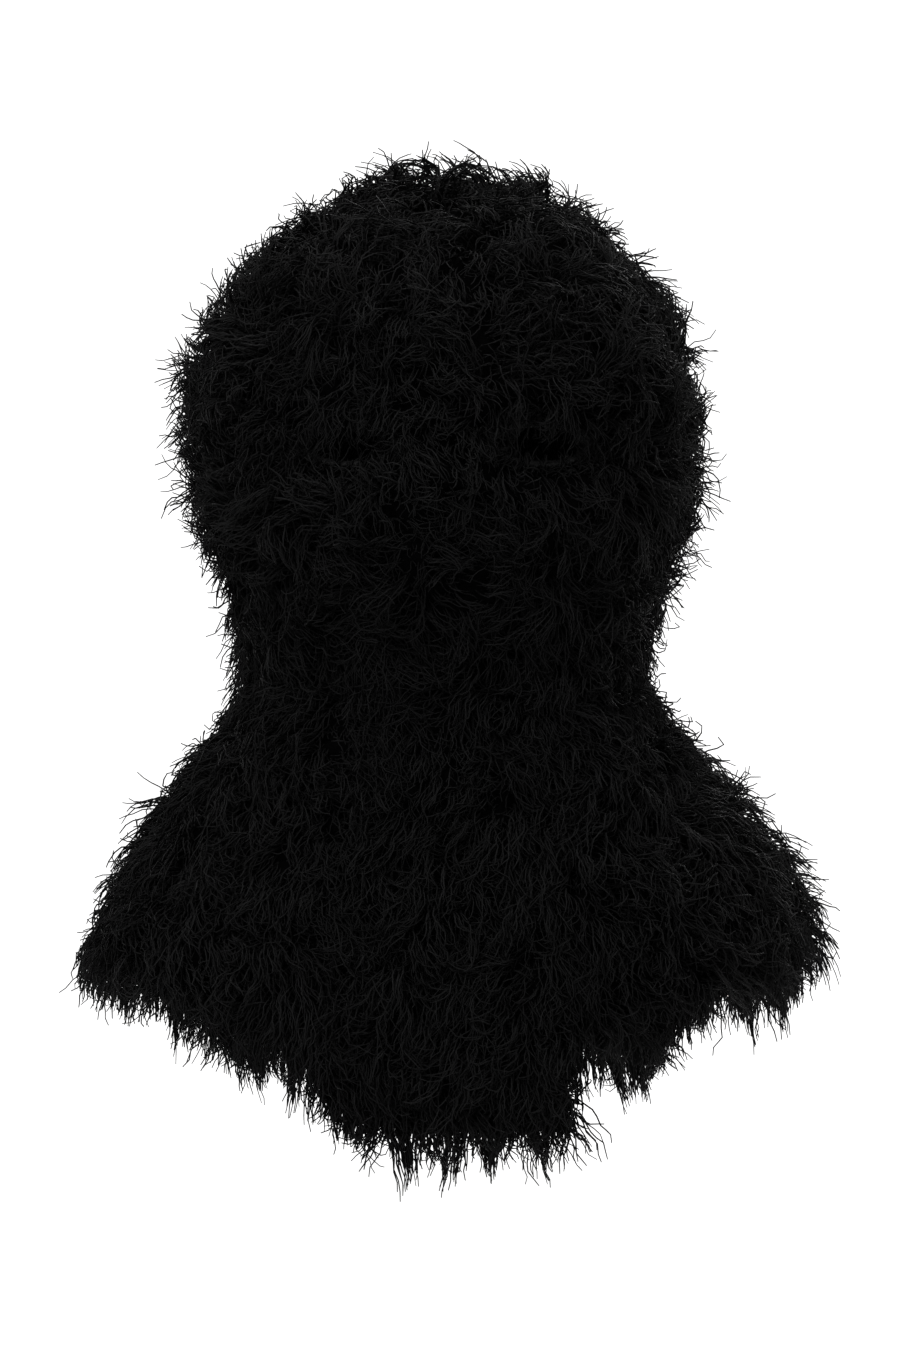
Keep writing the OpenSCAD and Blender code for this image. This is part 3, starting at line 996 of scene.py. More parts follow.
@dataclass(frozen=True)
class Swirl:
    """A smooth field of numbers over space, from a few seeded waves."""

    waves: Array
    phases: Array

    @classmethod
    def seeded(cls, seed: int, wavelength: float, count: int = 7) -> "Swirl":
        """Returns a field whose features are about a wavelength across."""
        rng = np.random.default_rng(seed)
        waves = unit(rng.normal(size=(count, 3))) * (TURN / wavelength) * rng.uniform(0.6, 1.5, (count, 1))
        return cls(waves, rng.uniform(0, TURN, count))

    def at(self, p: Array) -> Array:
        """Returns the field at points, about -1 to 1."""
        return np.sin(p @ self.waves.T + self.phases).sum(axis=-1) / math.sqrt(len(self.phases) / 2)


@dataclass(frozen=True)
class Parting:
    """A furrow in the pile, from which tufts are combed away on both sides.

    Attributes:
        top, bottom: Its ends, as X and Z.
        reach: How far from the furrow the combing fades.
    """

    top: tuple[float, float]
    bottom: tuple[float, float]
    reach: float = 0.011

    def pull(self, p: Array) -> Array:
        """Returns how strongly tufts at points lean away from the furrow, towards +X if positive."""
        (x0, z0), (x1, z1) = self.top, self.bottom
        t = (z0 - p[..., 2]) / (z0 - z1)
        d = p[..., 0] - (x0 + (x1 - x0) * t)
        beside = (t > -0.1) & (t < 1.1) & (p[..., 1] < 0)
        return np.where(beside, np.sign(d) * np.exp(-((d / self.reach) ** 2)), 0.0)


@dataclass(frozen=True)
class Hollow:
    """A place on the face where the pile lies flatter.

    Attributes:
        middle: Its middle, as X and Z.
        half: Its half width and half height.
        depth: The share of its height that the pile loses there.
    """

    middle: tuple[float, float]
    half: tuple[float, float]
    depth: float

    def at(self, p: Array) -> Array:
        """Returns the share of its height that the pile loses at points."""
        x = (p[..., 0] - self.middle[0]) / self.half[0]
        z = (p[..., 2] - self.middle[1]) / self.half[1]
        return np.where(p[..., 1] < 0, self.depth * np.exp(-(x**4) - z**4), 0.0)


@dataclass(frozen=True)
class Bulk:
    """A level at which the pile stands higher on one side.

    Attributes:
        side: The side.
        level, half: Its middle level and half height.
        across: How far from the middle the pile is at its fullest.
        gain: The share of its height that the pile gains there.
    """

    side: Side
    level: float
    half: float
    across: float
    gain: float

    def at(self, p: Array) -> Array:
        """Returns the share of its height that the pile gains at points."""
        up = (p[..., 2] - self.level) / self.half
        return self.gain * ease(self.side.value * p[..., 0] / self.across) * np.exp(-(up**2))


@dataclass(frozen=True)
class Lock:
    """A thicker lock of strands that stands apart from the pile.

    Attributes:
        fringe: The CAD node of the pile that it belongs to.
        angle, level: Where it is rooted, in degrees and metres.
        way: The way it is combed, in degrees from straight down towards the wearer's left.
        length: Its length.
        lift: How upright it stays.
        tufts: How many tufts it has.
        spread: How far apart its tufts are rooted.
    """

    fringe: str
    angle: float
    level: float
    way: float
    length: float
    lift: float
    tufts: int
    spread: float


@dataclass
class Strands:
    """What decides the strands' paths: one entry for each strand.

    Attributes:
        root, out, along: Where it starts, the outward direction and the way it is combed.
        length: Its length.
        lift: How upright it stays, from 0 to 1.
        bed: How high above the matted layer it lies.
        curl: How strongly it turns in a step.
        phase: Where its wave starts.
        shade: How light it is, from 0 to 1.
    """

    root: Array
    out: Array
    along: Array
    length: Array
    lift: Array
    bed: Array
    curl: Array
    phase: Array
    shade: Array


@dataclass
class Fringe:
    """The pile of cut yarn latched into every panel.

    Attributes:
        form: The worn form.
        yarn, matted_shade: The two finishes; the second is near black, as painted shade deep in the pile.
        spacing: Distance between tufts.
        tuft: A tuft's usual length.
        strands: Strands in a tuft.
        under: Short, loose strands among them, which fill the pile's floor.
        layer: How high the topmost strands lie above the matted roots.
        radius: A strand's radius.
        rings, sides: Rings along a strand, and points on each.
        wave, wavelength: How far a strand waves to and fro, and over what length.
        largest: The most strands in one piece.
        PARTINGS, HOLLOWS, BULKS, LOCKS: What makes the pile uneven.
        CROWN_GAIN, CROWN_RADIUS: How much fuller the pile is at the crown, and how far from its middle.
        TAB_MIDDLE: Where the middle of the tab's tassels hangs, along X.
    """

    form: Form
    yarn: bpy.types.Material
    matted_shade: bpy.types.Material
    spacing: float = 0.0060
    tuft: float = 0.0250
    strands: int = 11
    under: int = 4
    layer: float = 0.0110
    radius: float = 0.00040
    rings: int = 8
    sides: int = 3
    wave: float = 0.0009
    wavelength: float = 0.0135
    largest: int = 4000

    PARTINGS = (
        Parting((-0.025, -0.040), (-0.024, -0.118)),
        Parting((-0.005, -0.130), (-0.018, -0.168), 0.009),
        Parting((-0.044, -0.205), (-0.046, -0.262), 0.012),
    )
    HOLLOWS = (
        Hollow((-0.050, -0.082), (0.030, 0.037), 0.75),
        Hollow((0.047, -0.102), (0.024, 0.016), 0.70),
    )
    BULKS = (
        Bulk(Side.RIGHT, level=-0.072, half=0.050, across=0.08, gain=0.50),
        Bulk(Side.LEFT, level=-0.090, half=0.050, across=0.08, gain=0.22),
        Bulk(Side.LEFT, level=-0.288, half=0.042, across=0.11, gain=0.70),
    )
    LOCKS = (
        Lock("fringe_face", -33.0, -0.050, 4.0, 0.034, 0.40, 5, 0.0045),
        Lock("fringe_hood_right", -86.0, -0.088, -60.0, 0.030, 1.10, 3, 0.0020),
        Lock("fringe_yoke", 84.0, -0.232, 70.0, 0.026, 0.95, 3, 0.0020),
        Lock("fringe_hood_right", -24.0, 0.010, -150.0, 0.026, 1.00, 3, 0.0020),
        Lock("fringe_hood_left", 35.0, 0.008, 140.0, 0.028, 0.95, 4, 0.0040),
        Lock("fringe_hood_left", 80.0, -0.045, 110.0, 0.026, 0.95, 4, 0.0050),
    )
    CROWN_GAIN = 0.34
    CROWN_RADIUS = 0.050
    TAB_MIDDLE = 0.006

    def __post_init__(self) -> None:
        """Sets the fields that comb the pile."""
        self.turning = Swirl.seeded(11, 0.046)
        self.lifting = Swirl.seeded(23, 0.040)
        self.lengths = Swirl.seeded(37, 0.034)
        self.lumps = Swirl.seeded(51, 0.022), Swirl.seeded(52, 0.010)

    def sunk(self, p: Array) -> Array:
        """Returns the share of its height that the pile loses at points, less what it gains."""
        away = np.hypot(p[..., 0], p[..., 1]) / self.CROWN_RADIUS
        crown = self.CROWN_GAIN * np.exp(-(away**4)) * ease((p[..., 2] + 0.06) / 0.04)
        gain = sum((bulk.at(p) for bulk in self.BULKS), crown)
        return sum(hollow.at(p) for hollow in self.HOLLOWS) - gain

    def corner(self, p: Array) -> Array:
        """Returns how near points are to the tab's lower corners, from 0 to 1."""
        low = ease((self.form.tab_hem + 0.024 - p[..., 2]) / 0.020) * (p[..., 1] < 0)
        return low * ease((np.abs(p[..., 0] - self.TAB_MIDDLE) - 0.022) / 0.024)

    def beside_tab(self, p: Array) -> Array:
        """Returns how near points are to the tab on the hems beside it, from 0 to 1."""
        low = ease((self.form.inner_hem + 0.020 - p[..., 2]) / 0.012) * (p[..., 1] < 0)
        aside = np.abs(p[..., 0])
        return low * ease((0.100 - aside) / 0.040) * (aside > 0.046) * (p[..., 2] > self.form.tab_hem + 0.026)

    def bed(self, p: Array) -> Array:
        """Returns the matted layer's thickness at points."""
        lump = 0.5 * self.lumps[0].at(p) + 0.5 * self.lumps[1].at(p)
        return (0.0078 + 0.0022 * lump) * (1 - self.sunk(p))

    @staticmethod
    def along_knit(out: Array) -> tuple[Array, Array]:
        """Returns the directions down the knit and across it, from the direction that it faces."""
        down = unit(DOWN + out * out[..., 2:])
        return down, np.cross(out, down)

    def comb(self, p: Array, out: Array, rng: np.random.Generator) -> Array:
        """Returns the way that tufts are combed along the knit: swirling on the head, down on the cape."""
        down, across = self.along_knit(out)
        headness = ease((p[..., 2] - self.form.z_turn) / 0.075)
        swirl = self.turning.at(p) * (0.65 + 1.6 * headness) + rng.normal(0, 0.30 + 0.22 * headness, len(p))
        lean = sum(parting.pull(p) for parting in self.PARTINGS)
        return unit(np.cos(swirl)[:, None] * down + (np.sin(swirl) + 0.9 * lean)[:, None] * across)

    def grow(self, s: Strands, rng: np.random.Generator, floor: float = 1.0) -> Array:
        """Returns the strands' paths, root to tip.

        Args:
            s: What decides them.
            rng: The source of random draws.
            floor: The share of the matted layer's thickness that they are kept above.

        Returns:
            Points, as strands, rings and three coordinates.
        """
        n = len(s.root)
        step = (s.length / (self.rings - 1))[:, None]
        axis = unit(s.out + rng.normal(0, 0.45, (n, 3)))
        below = ease((self.form.z_turn + 0.02 - s.root[:, 2]) / 0.05)[:, None]
        lift, curl = s.lift[:, None], s.curl[:, None]
        head = unit(s.out * (0.75 + 0.5 * lift) + s.along * 0.5 + rng.normal(0, 0.10, (n, 3)))
        path = np.empty((n, self.rings, 3))
        path[:, 0] = s.root
        for k in range(1, self.rings):
            f = k / (self.rings - 1)
            rise = lift * 1.25 - 1.10 * f**1.4
            aim = unit(s.along * (0.5 + 0.5 * f) + s.out * rise + DOWN * f * (0.12 + 0.75 * below))
            turn = curl * (0.45 + 1.5 * f * f)
            head = unit(head * 0.60 + aim * 0.45 + np.cross(axis, head) * turn + rng.normal(0, 0.05, (n, 3)))
            at = path[:, k - 1] + head * step
            least = floor * (self.bed(at) * min(1.0, k / 1.5) + s.bed * min(1.0, k / 3.0)) + 0.0006
            path[:, k] = self.form.keep_off(at, least)
        side = unit(np.cross(s.out, s.along))[:, None]
        run = np.linspace(0, 1, self.rings) * s.length[:, None]
        wave = np.sin(run / self.wavelength * 2 * math.pi + s.phase[:, None]) * np.minimum(run / 0.012, 1.0)
        return path + side * (wave * self.wave)[..., None]

    def sprout(
        self,
        place: tuple[Array, Array, Array],
        length: Array,
        lift: Array,
        strands: int,
        rng: np.random.Generator,
        spread: float = 0.0019,
        bed: float = 1.0,
        curl: float = 1.0,
        floor: float = 1.0,
    ) -> Grown:
        """Grows tufts, whose strands share a way, a length, a curl and a wave, and splay a little.

        Args:
            place: Where the tufts are rooted, and the outward direction and the combed way there.
            length, lift: The tufts' lengths and how upright they stay.
            strands: How many strands each has.
            rng: The source of random draws.
            spread: How far the strands' roots scatter.
            bed, curl: Shares of the usual height above the matted layer, and of the usual curl.
            floor: The share of the matted layer's thickness that they are kept above.

        Returns:
            The strands' paths and shades.
        """
        p, out, along = place
        n = len(p)
        total = n * strands

        def each(values: Array) -> Array:
            return np.repeat(values, strands, axis=0)

        jitter = rng.normal(0, spread, (total, 3))
        jitter -= each(out) * np.sum(jitter * each(out), axis=1, keepdims=True)
        under = np.arange(total) % strands < self.under
        splay = np.where(under, 1.3, 0.09)[:, None]
        layer = self.layer * (each(rng.random(n)) * 0.6 + rng.random(total) * 0.4) ** 1.3
        s = Strands(
            root=each(p) + jitter - each(out) * 0.0006,
            out=each(out),
            along=unit(each(along) + rng.normal(0, 1, (total, 3)) * splay),
            length=each(length) * rng.uniform(0.78, 1.10, total) * np.where(under, 0.72, 1.0),
            lift=each(lift) * np.where(under, 0.3, 1.0) + rng.normal(0, 0.05, total),
            bed=layer * (1 - each(self.sunk(p))) * np.where(under, 0.15, 1.0) * bed,
            curl=(each(rng.normal(0, 0.27, n)) + rng.normal(0, 0.10, total)) * curl,
            phase=each(rng.uniform(0, 6.28, n)) + rng.normal(0, 0.7, total),
            shade=np.clip(each(rng.random(n)) * 0.5 + rng.random(total) * 0.6, 0, 1),
        )
        return self.grow(s, rng, floor), s.shade

    def tufts(self, panel: Panel, rng: np.random.Generator) -> Grown:
        """Returns the paths and shades of every strand that is latched into a panel."""
        th, z = panel.roots(self.form, self.spacing, rng)
        p = self.form.point(th, z)
        out = self.form.normal(p)
        along = self.comb(p, out, rng)
        length = self.tuft * (1 + 0.14 * self.lengths.at(p)) * rng.uniform(0.80, 1.18, len(p))
        corner = self.corner(p)[:, None]
        along = unit(along * (1 - 0.8 * corner) + DOWN * 0.8 * corner)
        length = length * (1 - 0.35 * corner[:, 0])
        proud = rng.random(len(p)) < 0.17 + 0.13 * self.lengths.at(p * 1.6)
        lift = 0.26 + 0.18 * self.lifting.at(p) + rng.normal(0, 0.08, len(p)) + 0.62 * proud
        lift = lift * (1 - 0.6 * self.sunk(p))
        if panel.eyes:
            near = ease((2.2 - self.form.eye_distance(th, z)) / 0.9)[:, None]
            along = unit(along * (1 - near) + DOWN * near)
            length = length * (1 - 0.45 * near[:, 0])
        return self.sprout((p, out, along), length, lift, self.strands, rng)

    def locks(self, panel: Panel, rng: np.random.Generator) -> list[Grown]:
        """Returns the paths and shades of the locks that stand apart on a panel."""
        found = []
        for lock in self.LOCKS:
            if lock.fringe != panel.fringe:
                continue
            p = self.form.point(lock.angle, lock.level) + rng.normal(0, lock.spread, (lock.tufts, 3))
            out = self.form.normal(p)
            down, across = self.along_knit(out)
            way = math.radians(lock.way)
            along = math.cos(way) * down + math.sin(way) * across
            length = lock.length * rng.uniform(0.85, 1.1, lock.tufts)
            lift = np.full(lock.tufts, lock.lift)
            found.append(self.sprout((p, out, along), length, lift, self.strands, rng, spread=0.0012))
        return found

    def veil(self, rng: np.random.Generator) -> Grown:
        """Returns the strands round the eye openings: long ones hang over them, short ones hide the rim."""
        form = self.form
        count = 56
        turn = np.tile(np.linspace(0, TURN, count + 1)[:-1], 2) + rng.normal(0, 0.05, 2 * count)
        side = np.repeat([-1, 1], count)
        above = np.cos(turn) > -0.1
        grow = np.where(above, 1.3, 1.12)
        th = side * form.eye_angle + form.eye_reach * (1 + (grow - 1) * 0.6) * np.sin(turn)
        z = form.z_eye + form.eye_half_height * grow * np.cos(turn)
        p = form.point(th, z)
        out = form.normal(p)
        toward = np.where(above, 1.0, -0.55)[:, None] * DOWN
        along = unit(toward + np.array([1.0, 0, 0]) * rng.normal(0, 0.55, (2 * count, 1)))
        length = np.where(above, rng.uniform(0.013, 0.025, 2 * count), rng.uniform(0.007, 0.012, 2 * count))
        length = length * np.where(side > 0, 0.9, 1.15)
        lift = rng.uniform(0.05, 0.30, 2 * count)
        return self.sprout((p, out, along), length, lift, 7, rng, bed=0.35, floor=0.5)

    def tassels(self, panel: Panel, rng: np.random.Generator) -> Grown:
        """Returns the strands that hang from a panel's hem, drawn together into uneven tassels."""
        form = self.form
        z_hem = np.array(panel.hem)
        ends = np.array([float(panel.start(z_hem[0])), float(panel.stop(z_hem[1]))])
        width = float(covered(form.point(ends, z_hem))[-1])
        count = max(4, int(width / 0.0016))
        t = np.clip((np.arange(count) + 0.5) / count + rng.normal(0, 0.4 / count, count), 0.01, 0.99)
        tassels = max(2, round(width / 0.019))
        middles = (np.arange(tassels) + 0.5 + rng.uniform(-0.28, 0.28, tassels)) / tassels
        reach = rng.uniform(0.4, 1.0, tassels) ** 1.3
        nearest = np.argmin(np.abs(t[:, None] - middles), axis=1)
        away = (middles[nearest] - t) * width
        th = ends[0] + (ends[1] - ends[0]) * t
        z = panel.hem_at(t) + rng.uniform(0.001, 0.013, count)
        p = form.point(th, z, 0.0015)
        out = form.normal(p)
        across = unit(np.cross(out, DOWN))
        sway = self.turning.at(p) * 0.10 + rng.uniform(-0.25, 0.25, tassels)[nearest]
        sway -= 0.3 * self.corner(p) * np.sign(p[:, 0])
        along = unit(DOWN + across * sway[:, None])
        close = np.exp(-((away / 0.0088) ** 4))
        length = 0.015 + 0.021 * reach[nearest] * close + rng.uniform(-0.003, 0.003, count)
        length *= 1 - 0.25 * self.corner(p) + np.where(p[:, 0] < 0, 0.40, 0.20) * self.beside_tab(p)
        lift = rng.uniform(-0.25, 0.0, count)
        path, shade = self.sprout((p, out, along), length, lift, 9, rng, spread=0.0014, curl=0.35, floor=0.35)
        return self.gathered(path, p + across * away[:, None], across, sway, 0.58 * close), shade

    def edging(self, panel: Panel, rng: np.random.Generator) -> Grown:
        """Returns short strands along a panel's loose side edges, combed down and a little outwards."""
        count = 16
        side = np.repeat([-1.0, 1.0], count)
        low = panel.hem_at((side + 1) / 2) + 0.006
        z = panel.free_below + (low - panel.free_below) * np.tile(np.linspace(0, 1, count), 2)
        z += rng.normal(0, 0.001, 2 * count)
        th = np.where(side > 0, panel.stop(z) - 0.4, panel.start(z) + 0.4)
        p = self.form.point(th, z, 0.001)
        out = self.form.normal(p)
        across = np.cross(out, DOWN) * side[:, None]
        along = unit(DOWN + across * rng.uniform(0.05, 0.55, (2 * count, 1)))
        length = rng.uniform(0.010, 0.018, 2 * count)
        lift = rng.uniform(-0.1, 0.2, 2 * count)
        return self.sprout((p, out, along), length, lift, 8, rng, spread=0.0012, bed=0.5, floor=0.4)

    def gathered(self, path: Array, middle: Array, across: Array, sway: Array, share: Array) -> Array:
        """Returns hanging strands drawn towards the lines that their tassels hang on.

        Args:
            path: The strands' points.
            middle: Where each tuft's tassel hangs from.
            across: The direction along the hem there.
            sway: How far the tassel's line goes across for each metre that it drops.
            share: The share of the way to the line that the strands' tips are drawn.
        """
        strands = len(path) // len(middle)
        shared = (np.repeat(values, strands, axis=0)[:, None] for values in (middle, across, sway, share))
        middle, across, sway, share = shared
        off_line = np.sum((path - middle) * across, axis=2) + (path - middle)[..., 2] * sway
        return path - across * (off_line * share * ease(np.linspace(0, 1.1, self.rings)))[..., None]

    def base(self, panel: Panel, parts: MeshParts) -> None:
        """Adds the matted roots: a lumpy closed layer on the knit, thinner at hems and eyes, whose near-black
        finish paints the shade deep in the pile.
        """
        th, z = panel.grid(self.form, 0.0036)
        thick = self.bed(self.form.point(th, z))
        keep = np.ones((th.shape[0] - 1, th.shape[1] - 1), bool)
        if panel.free_hem:
            thick = thick * (0.25 + 0.75 * ease((z - z[-1:]) / 0.014))
            inset = np.minimum(th - th[:, :1], th[:, -1:] - th)
            thick = np.where(z < panel.free_below, thick * (0.2 + 0.8 * ease(inset / 5.0)), thick)
        if panel.eyes:
            far = self.form.eye_distance(th, z)
            thick = thick * (0.15 + 0.85 * ease((far - 1.0) / 0.9))
            keep = ~cell_corners(far < 1.06).any(axis=0)
        closed_sheet(parts, self.form.point(th, z, thick + 0.0008), self.form.point(th, z, 0.0006), keep)

    def lay(self, panel: Panel) -> list[bpy.types.Object]:
        """Makes a panel's pile.

        Args:
            panel: The knit that it is latched into.

        Returns:
            The pieces, each with at most the largest number of strands.
        """
        rng = np.random.default_rng(sum(map(ord, panel.fringe)) * 7919)
        grown = [self.tufts(panel, rng), *self.locks(panel, rng)]
        if panel.free_hem:
            grown.append(self.tassels(panel, rng))
        if panel.free_below > min(panel.hem):
            grown.append(self.edging(panel, rng))
        if panel.eyes:
            grown.append(self.veil(rng))
        paths, shade = (np.concatenate(group) for group in zip(*grown))
        parts = MeshParts()
        self.base(panel, parts)
        # The roots layer takes the near-black finish that paints the shade deep in the pile.
        made = [parts.build(panel.fringe + "_roots", [self.matted_shade])]
        hanks = math.ceil(len(paths) / self.largest)
        f = np.linspace(0, 1, self.rings)
        for number, index in enumerate(np.array_split(np.arange(len(paths)), hanks)):
            parts = MeshParts()
            thick = self.radius * rng.uniform(0.78, 1.15, (len(index), 1)) * (1 - 0.38 * f**3)
            add_tubes(parts, paths[index], thick, self.sides, shade[index])
            made.append(parts.build(f"{panel.fringe}_{number + 1}", [self.yarn]))
        return [settle(piece, panel.fringe, panel.zone) for piece in made]


# ---------------------------------------------------------------- seams, bindings and labels


@dataclass
class Seams:
    """Linked seams on the inside of the knit: a core cord with loops of thread over it.

    Attributes:
        form: The worn form.
        material: The thread's finish.
        core, thread: The radii of the cord and the thread.
        loop: How far the loops stand off the cord's middle.
        pitch: Distance between loops.
        smooth: Points on each loop.
    """

    form: Form
    material: bpy.types.Material
    core: float = 0.0008
    thread: float = 0.00030
    loop: float = 0.0011
    pitch: float = 0.0026
    smooth: int = 8

    def lay(self, name: str, th: Array, z: Array, zone: Zone) -> bpy.types.Object:
        """Makes one seam.

        Args:
            name: The CAD node that it stands for.
            th: Angles along it.
            z: Levels along it.
            zone: The zone that it belongs to.

        Returns:
            The piece.
        """
        line = self.form.point(th, z, -self.form.knit - self.loop - 0.0003)
        run = covered(line)
        count = int(run[-1] / self.pitch * self.smooth)
        at = np.linspace(0, run[-1], count)
        path = np.stack([np.interp(at, run, line[:, k]) for k in range(3)], axis=-1)
        ahead = unit(np.gradient(path, axis=0))
        out = self.form.normal(path)
        side = unit(np.cross(ahead, out))
        turn = (TURN * at / self.pitch)[:, None]
        helix = path + side * (self.loop * 1.5 * np.cos(turn)) + out * (self.loop * 0.75 * np.sin(turn))
        parts = MeshParts()
        for points, radius, sides, tint in ((path[::4], self.core, 8, 0.3), (helix, self.thread, 5, 0.7)):
            thick = np.full((1, len(points)), radius)
            add_tubes(parts, points[None], thick, sides, np.array([tint]), boxed=False)
        return settle(parts.build(name + "_linking", [self.material]), name, zone)

    def all(self) -> list[bpy.types.Object]:
        """Makes every seam."""
        f = self.form
        up = np.concatenate([np.linspace(0, 1, 60) ** 2 * (f.crown - f.z_brow) * -1 + f.crown])[::-1]
        down = f.levels(f.crown, f.z_turn, 0.003)
        over = np.concatenate([np.zeros(len(up)), np.full(len(down) - 1, 180.0)])
        arch = f.levels(f.z_brow - 0.004, f.z_turn, 0.003)
        made = [
            self.lay("crown_seam", over, np.concatenate([up, down[1:]]), Zone.HOOD),
            self.lay("face_seam_left", f.face_edge(arch), arch, Zone.HOOD),
            self.lay("face_seam_right", -f.face_edge(arch), arch, Zone.HOOD),
            self.lay("neck_seam", np.full(12, 180.0), np.linspace(f.z_turn, f.z_nod, 12), Zone.NECK),
            self.lay("yoke_seam", np.linspace(-180, 180, 200), np.full(200, f.z_lift + 0.0018), Zone.NECK),
        ]
        for name, angle, hem, zone in (
            ("tab_seam", f.tab_angle, f.inner_hem, Zone.FRONT),
            ("front_gore_seam", f.gore_angle, f.outer_hem, Zone.FRONT),
            ("back_seam", f.back_angle, f.back_gore_hem, Zone.BACK),
        ):
            for side in Side:
                level = np.linspace(f.z_lift - 0.001, hem + 0.001, 40)
                angles = np.full(40, side.value * angle)
                made.append(self.lay(f"{name}_{side.name.lower()}", angles, level, zone))
        return made


@dataclass
class EyeRims:
    """Ribbed bindings that wrap the edges of the two eye openings.

    Attributes:
        form: The worn form.
        material: The binding's finish.
        width: How far the binding reaches into the opening.
        proud: How far it stands off the knit.
        ribs: How many ribs go round an opening.
        rib_height, rib_reach: How far a rib stands out, and how far the furrows cut into the edge.
    """

    form: Form
    material: bpy.types.Material
    width: float = 0.0034
    proud: float = 0.0009
    ribs: int = 46
    rib_height: float = 0.00045
    rib_reach: float = 0.0005

    def lay(self, side: Side) -> bpy.types.Object:
        """Makes the binding of one eye: a rounded band whose ribs run across it."""
        form = self.form
        around = np.linspace(0, TURN, self.ribs * 6 + 1)
        section = np.linspace(0, TURN, 15)[:-1]
        degree = math.degrees(1 / form.head_half)
        rib = 0.5 + 0.5 * np.cos(around * self.ribs)
        rings = []
        for a in section:
            furrow = self.rib_reach * rib * (1 - abs(math.cos(a)))
            cut = self.width * (0.5 - 0.5 * np.cos(a)) + 0.0003 - furrow
            off = (form.knit / 2 + self.proud + self.rib_height * rib) * np.sin(a) - form.knit / 2
            th = side.value * form.eye_angle + (form.eye_reach - cut * degree) * np.sin(around)
            z = form.z_eye + (form.eye_half_height - cut) * np.cos(around)
            rings.append(form.point(th, z, off))
        grid = np.array(rings)[:, :-1]
        rows, cols = grid.shape[:2]
        j, i = np.meshgrid(np.arange(rows), np.arange(cols), indexing="ij")
        nj, ni = (j + 1) % rows, (i + 1) % cols
        quads = np.stack([j * cols + i, nj * cols + i, nj * cols + ni, j * cols + ni], -1).reshape(-1, 4)
        parts = MeshParts()
        parts.add(grid.reshape(-1, 3), [quads])
        name = f"eye_rim_{side.name.lower()}"
        return settle(parts.build(name + "_binding", [self.material]), name, Zone.HOOD)


@dataclass(frozen=True)
class Label:
    """A blank label inside the knit: a folded tape with a stitched top edge.

    Attributes:
        node, slot: Its CAD node, and its finish's slot, which is not used.
        zone: The zone that it belongs to.
        angle, half_angle: Where its middle is and how far it reaches to each side, in degrees.
        off: How far it stands off the knit's outer face.
        tape, thread: Its finishes.
    """

    node: str
    slot: str
    zone: Zone
    angle: float
    half_angle: float
    off: float
    tape: bpy.types.Material
    thread: bpy.types.Material

    THICK = 0.0005
    STITCH = 0.00018

    def lay(self, form: Form) -> bpy.types.Object:
        """Makes the label at the height of its CAD node's box, on a worn form."""
        low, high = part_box(self.node)
        middle_z, half_h = (low.z + high.z) / 2, (high.z - low.z) / 2
        th, z = np.meshgrid(
            self.angle + np.linspace(-self.half_angle, self.half_angle, 30),
            np.linspace(middle_z + half_h, middle_z - half_h, 24),
        )
        wave = 0.00035 * np.sin(th * 0.55 + z * 300)
        parts = MeshParts()
        outer, inner = (form.point(th, z, self.off - depth + wave) for depth in (0.0, self.THICK))
        closed_sheet(parts, outer, inner)
        stitches = np.linspace(th[0, 0] + 0.8, th[0, -1] - 0.8, 13)
        for a, b in zip(stitches[:-1:2], stitches[1::2]):
            line = form.point(np.linspace(a, b, 5), z[1, 0], self.off - 0.0006)
            bend = np.array([0.0, 0.4, 0.5, 0.4, 0.0])[:, None] * form.normal(line) * -0.0006
            points = tube_points((line + bend)[None], np.full((1, 5), self.STITCH), 5)
            faces = tube_faces(1, 5, 5)
            parts.add(points, faces, {"Cloth": [np.zeros((group.size, 2)) for group in faces]}, finish=1)
        piece = parts.build(self.node + "_tape", [self.tape, self.thread])
        return settle(piece, self.node, self.zone)


# ---------------------------------------------------------------- studio


@dataclass(frozen=True)
class Lamp:
    """A square soft box that faces the balaclava: where it stands, its size and its power in watts."""

    name: str
    place: tuple[float, float, float]
    size: float
    power: float

    TARGET = Vector((0, 0, -0.2))

    def hang(self) -> None:
        """Adds the lamp to the scene."""
        lamp = bpy.data.lights.new(self.name, "AREA")
        lamp.energy = self.power
        lamp.size = self.size
        made = bpy.data.objects.new(self.name, lamp)
        made.location = self.place
        made.rotation_euler = (self.TARGET - Vector(self.place)).to_track_quat("-Z", "Y").to_euler()
        bpy.context.collection.objects.link(made)


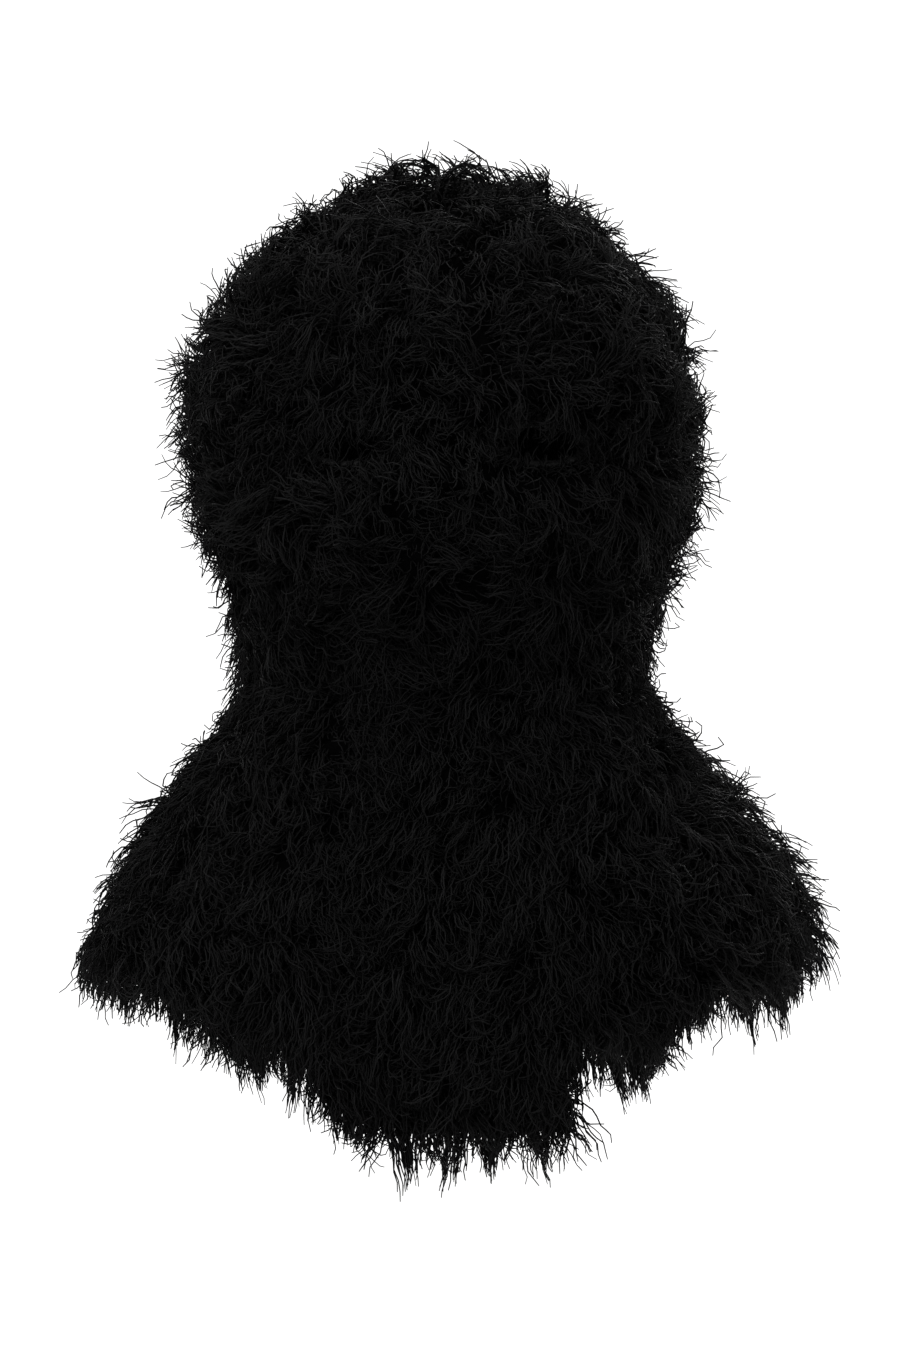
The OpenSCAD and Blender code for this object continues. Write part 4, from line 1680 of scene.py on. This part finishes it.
@dataclass
class Studio:
    """A plain pale floor, soft light all round and a camera straight in front.

    Attributes:
        floor_drop, floor_size: How far below the hem the floor is, and its width.
        distance: How far the camera stands from what it looks at.
        view_height: The height that the camera sees there.
        aim: What the camera looks at.
        sky: The strength of the light all round.
    """

    floor_drop: float = 0.55
    floor_size: float = 12.0
    distance: float = 2.4
    view_height: float = 0.6075
    aim: tuple[float, float, float] = (0.0018, 0.0, -0.2012)
    sky: float = 1.25

    LAMPS = (
        Lamp("key", (-0.9, -1.7, 1.3), 0.9, 60.0),
        Lamp("fill", (1.5, -1.7, 0.3), 1.2, 18.0),
        Lamp("top", (0.0, -0.2, 1.9), 1.2, 45.0),
        Lamp("back", (0.9, 2.0, 0.9), 1.2, 30.0),
    )

    def floor(self) -> None:
        """Makes the floor below the hem."""
        parts = MeshParts()
        cells = 24
        line = np.linspace(-self.floor_size / 2, self.floor_size / 2, cells + 1)
        x, y = np.meshgrid(line, line)
        low = CAD_BOX[0].z - self.floor_drop
        parts.add(np.stack([x, y, np.full_like(x, low)], -1), [grid_faces(cells + 1, cells + 1)[:, ::-1]])
        parts.build("floor", [FloorFinish().build("pale floor")], smooth=False)

    def light(self) -> None:
        """Lights the studio from all round, with soft boxes ahead, above and behind."""
        world = bpy.data.worlds.new("studio")
        world.use_nodes = True
        background = world.node_tree.nodes["Background"]
        background.inputs["Color"].default_value = (1.0, 1.0, 1.0, 1.0)
        background.inputs["Strength"].default_value = self.sky
        bpy.context.scene.world = world
        for lamp in self.LAMPS:
            lamp.hang()

    def camera(self) -> None:
        """Places the camera level with the middle of the view, looking along +Y."""
        data = bpy.data.cameras.new("camera")
        data.sensor_fit = "VERTICAL"
        data.sensor_height = 24.0
        data.lens = data.sensor_height * self.distance / self.view_height
        data.clip_end = 60.0
        made = bpy.data.objects.new("camera", data)
        made.location = (self.aim[0], self.aim[1] - self.distance, self.aim[2])
        made.rotation_euler = (math.pi / 2, 0, 0)
        bpy.context.collection.objects.link(made)
        bpy.context.scene.camera = made
        bpy.context.scene.view_settings.view_transform = "Standard"


# ---------------------------------------------------------------- the whole


def report(pieces: Sequence[bpy.types.Object]) -> None:
    """Logs each piece's name and how many triangles it comes to."""
    for piece in pieces:
        triangles = len(piece.data.loops) - 2 * len(piece.data.polygons)
        log.info("%s: %d triangles", piece.name, triangles)


def main() -> None:
    """Builds the balaclava and its studio."""
    studio = Studio()
    studio.camera()
    studio.light()
    studio.floor()
    form = Form.from_frame()
    panels = body_panels(form) + cape_panels(form)
    knit = KnitFinish().build("plain knit")
    cloth = {panel.name: panel.knit(form, knit) for panel in panels}
    report(list(cloth.values()))
    # The matted roots' finish is near black, as painted shade deep in the pile.
    fringe = Fringe(form, YarnFinish().build("fringe yarn"), MattedShadeFinish().build("matted roots"))
    pile = {panel.name: fringe.lay(panel) for panel in panels}
    for pieces in pile.values():
        report(pieces)
    thread = ThreadFinish().build("seam thread")
    report(Seams(form, thread).all())
    rims = EyeRims(form, ThreadFinish(light=0.0022, twist=650.0).build("rib binding"))
    report([rims.lay(side) for side in Side])
    woven = TapeFinish(grey(0.006), grey(0.03)).build("woven label")
    care = TapeFinish((0.42, 0.42, 0.40, 1), (0.72, 0.72, 0.69, 1)).build("care tape")
    nape_label = Label("nape_label", "woven_label", Zone.HOOD, 180.0, 12.8, -0.0062, woven, thread)
    care_label = Label("care_label", "care_tape", Zone.BACK, 112.0, 6.7, -0.0046, care, thread)
    report([nape_label.lay(form), care_label.lay(form)])


if __name__ == "__main__":
    main()
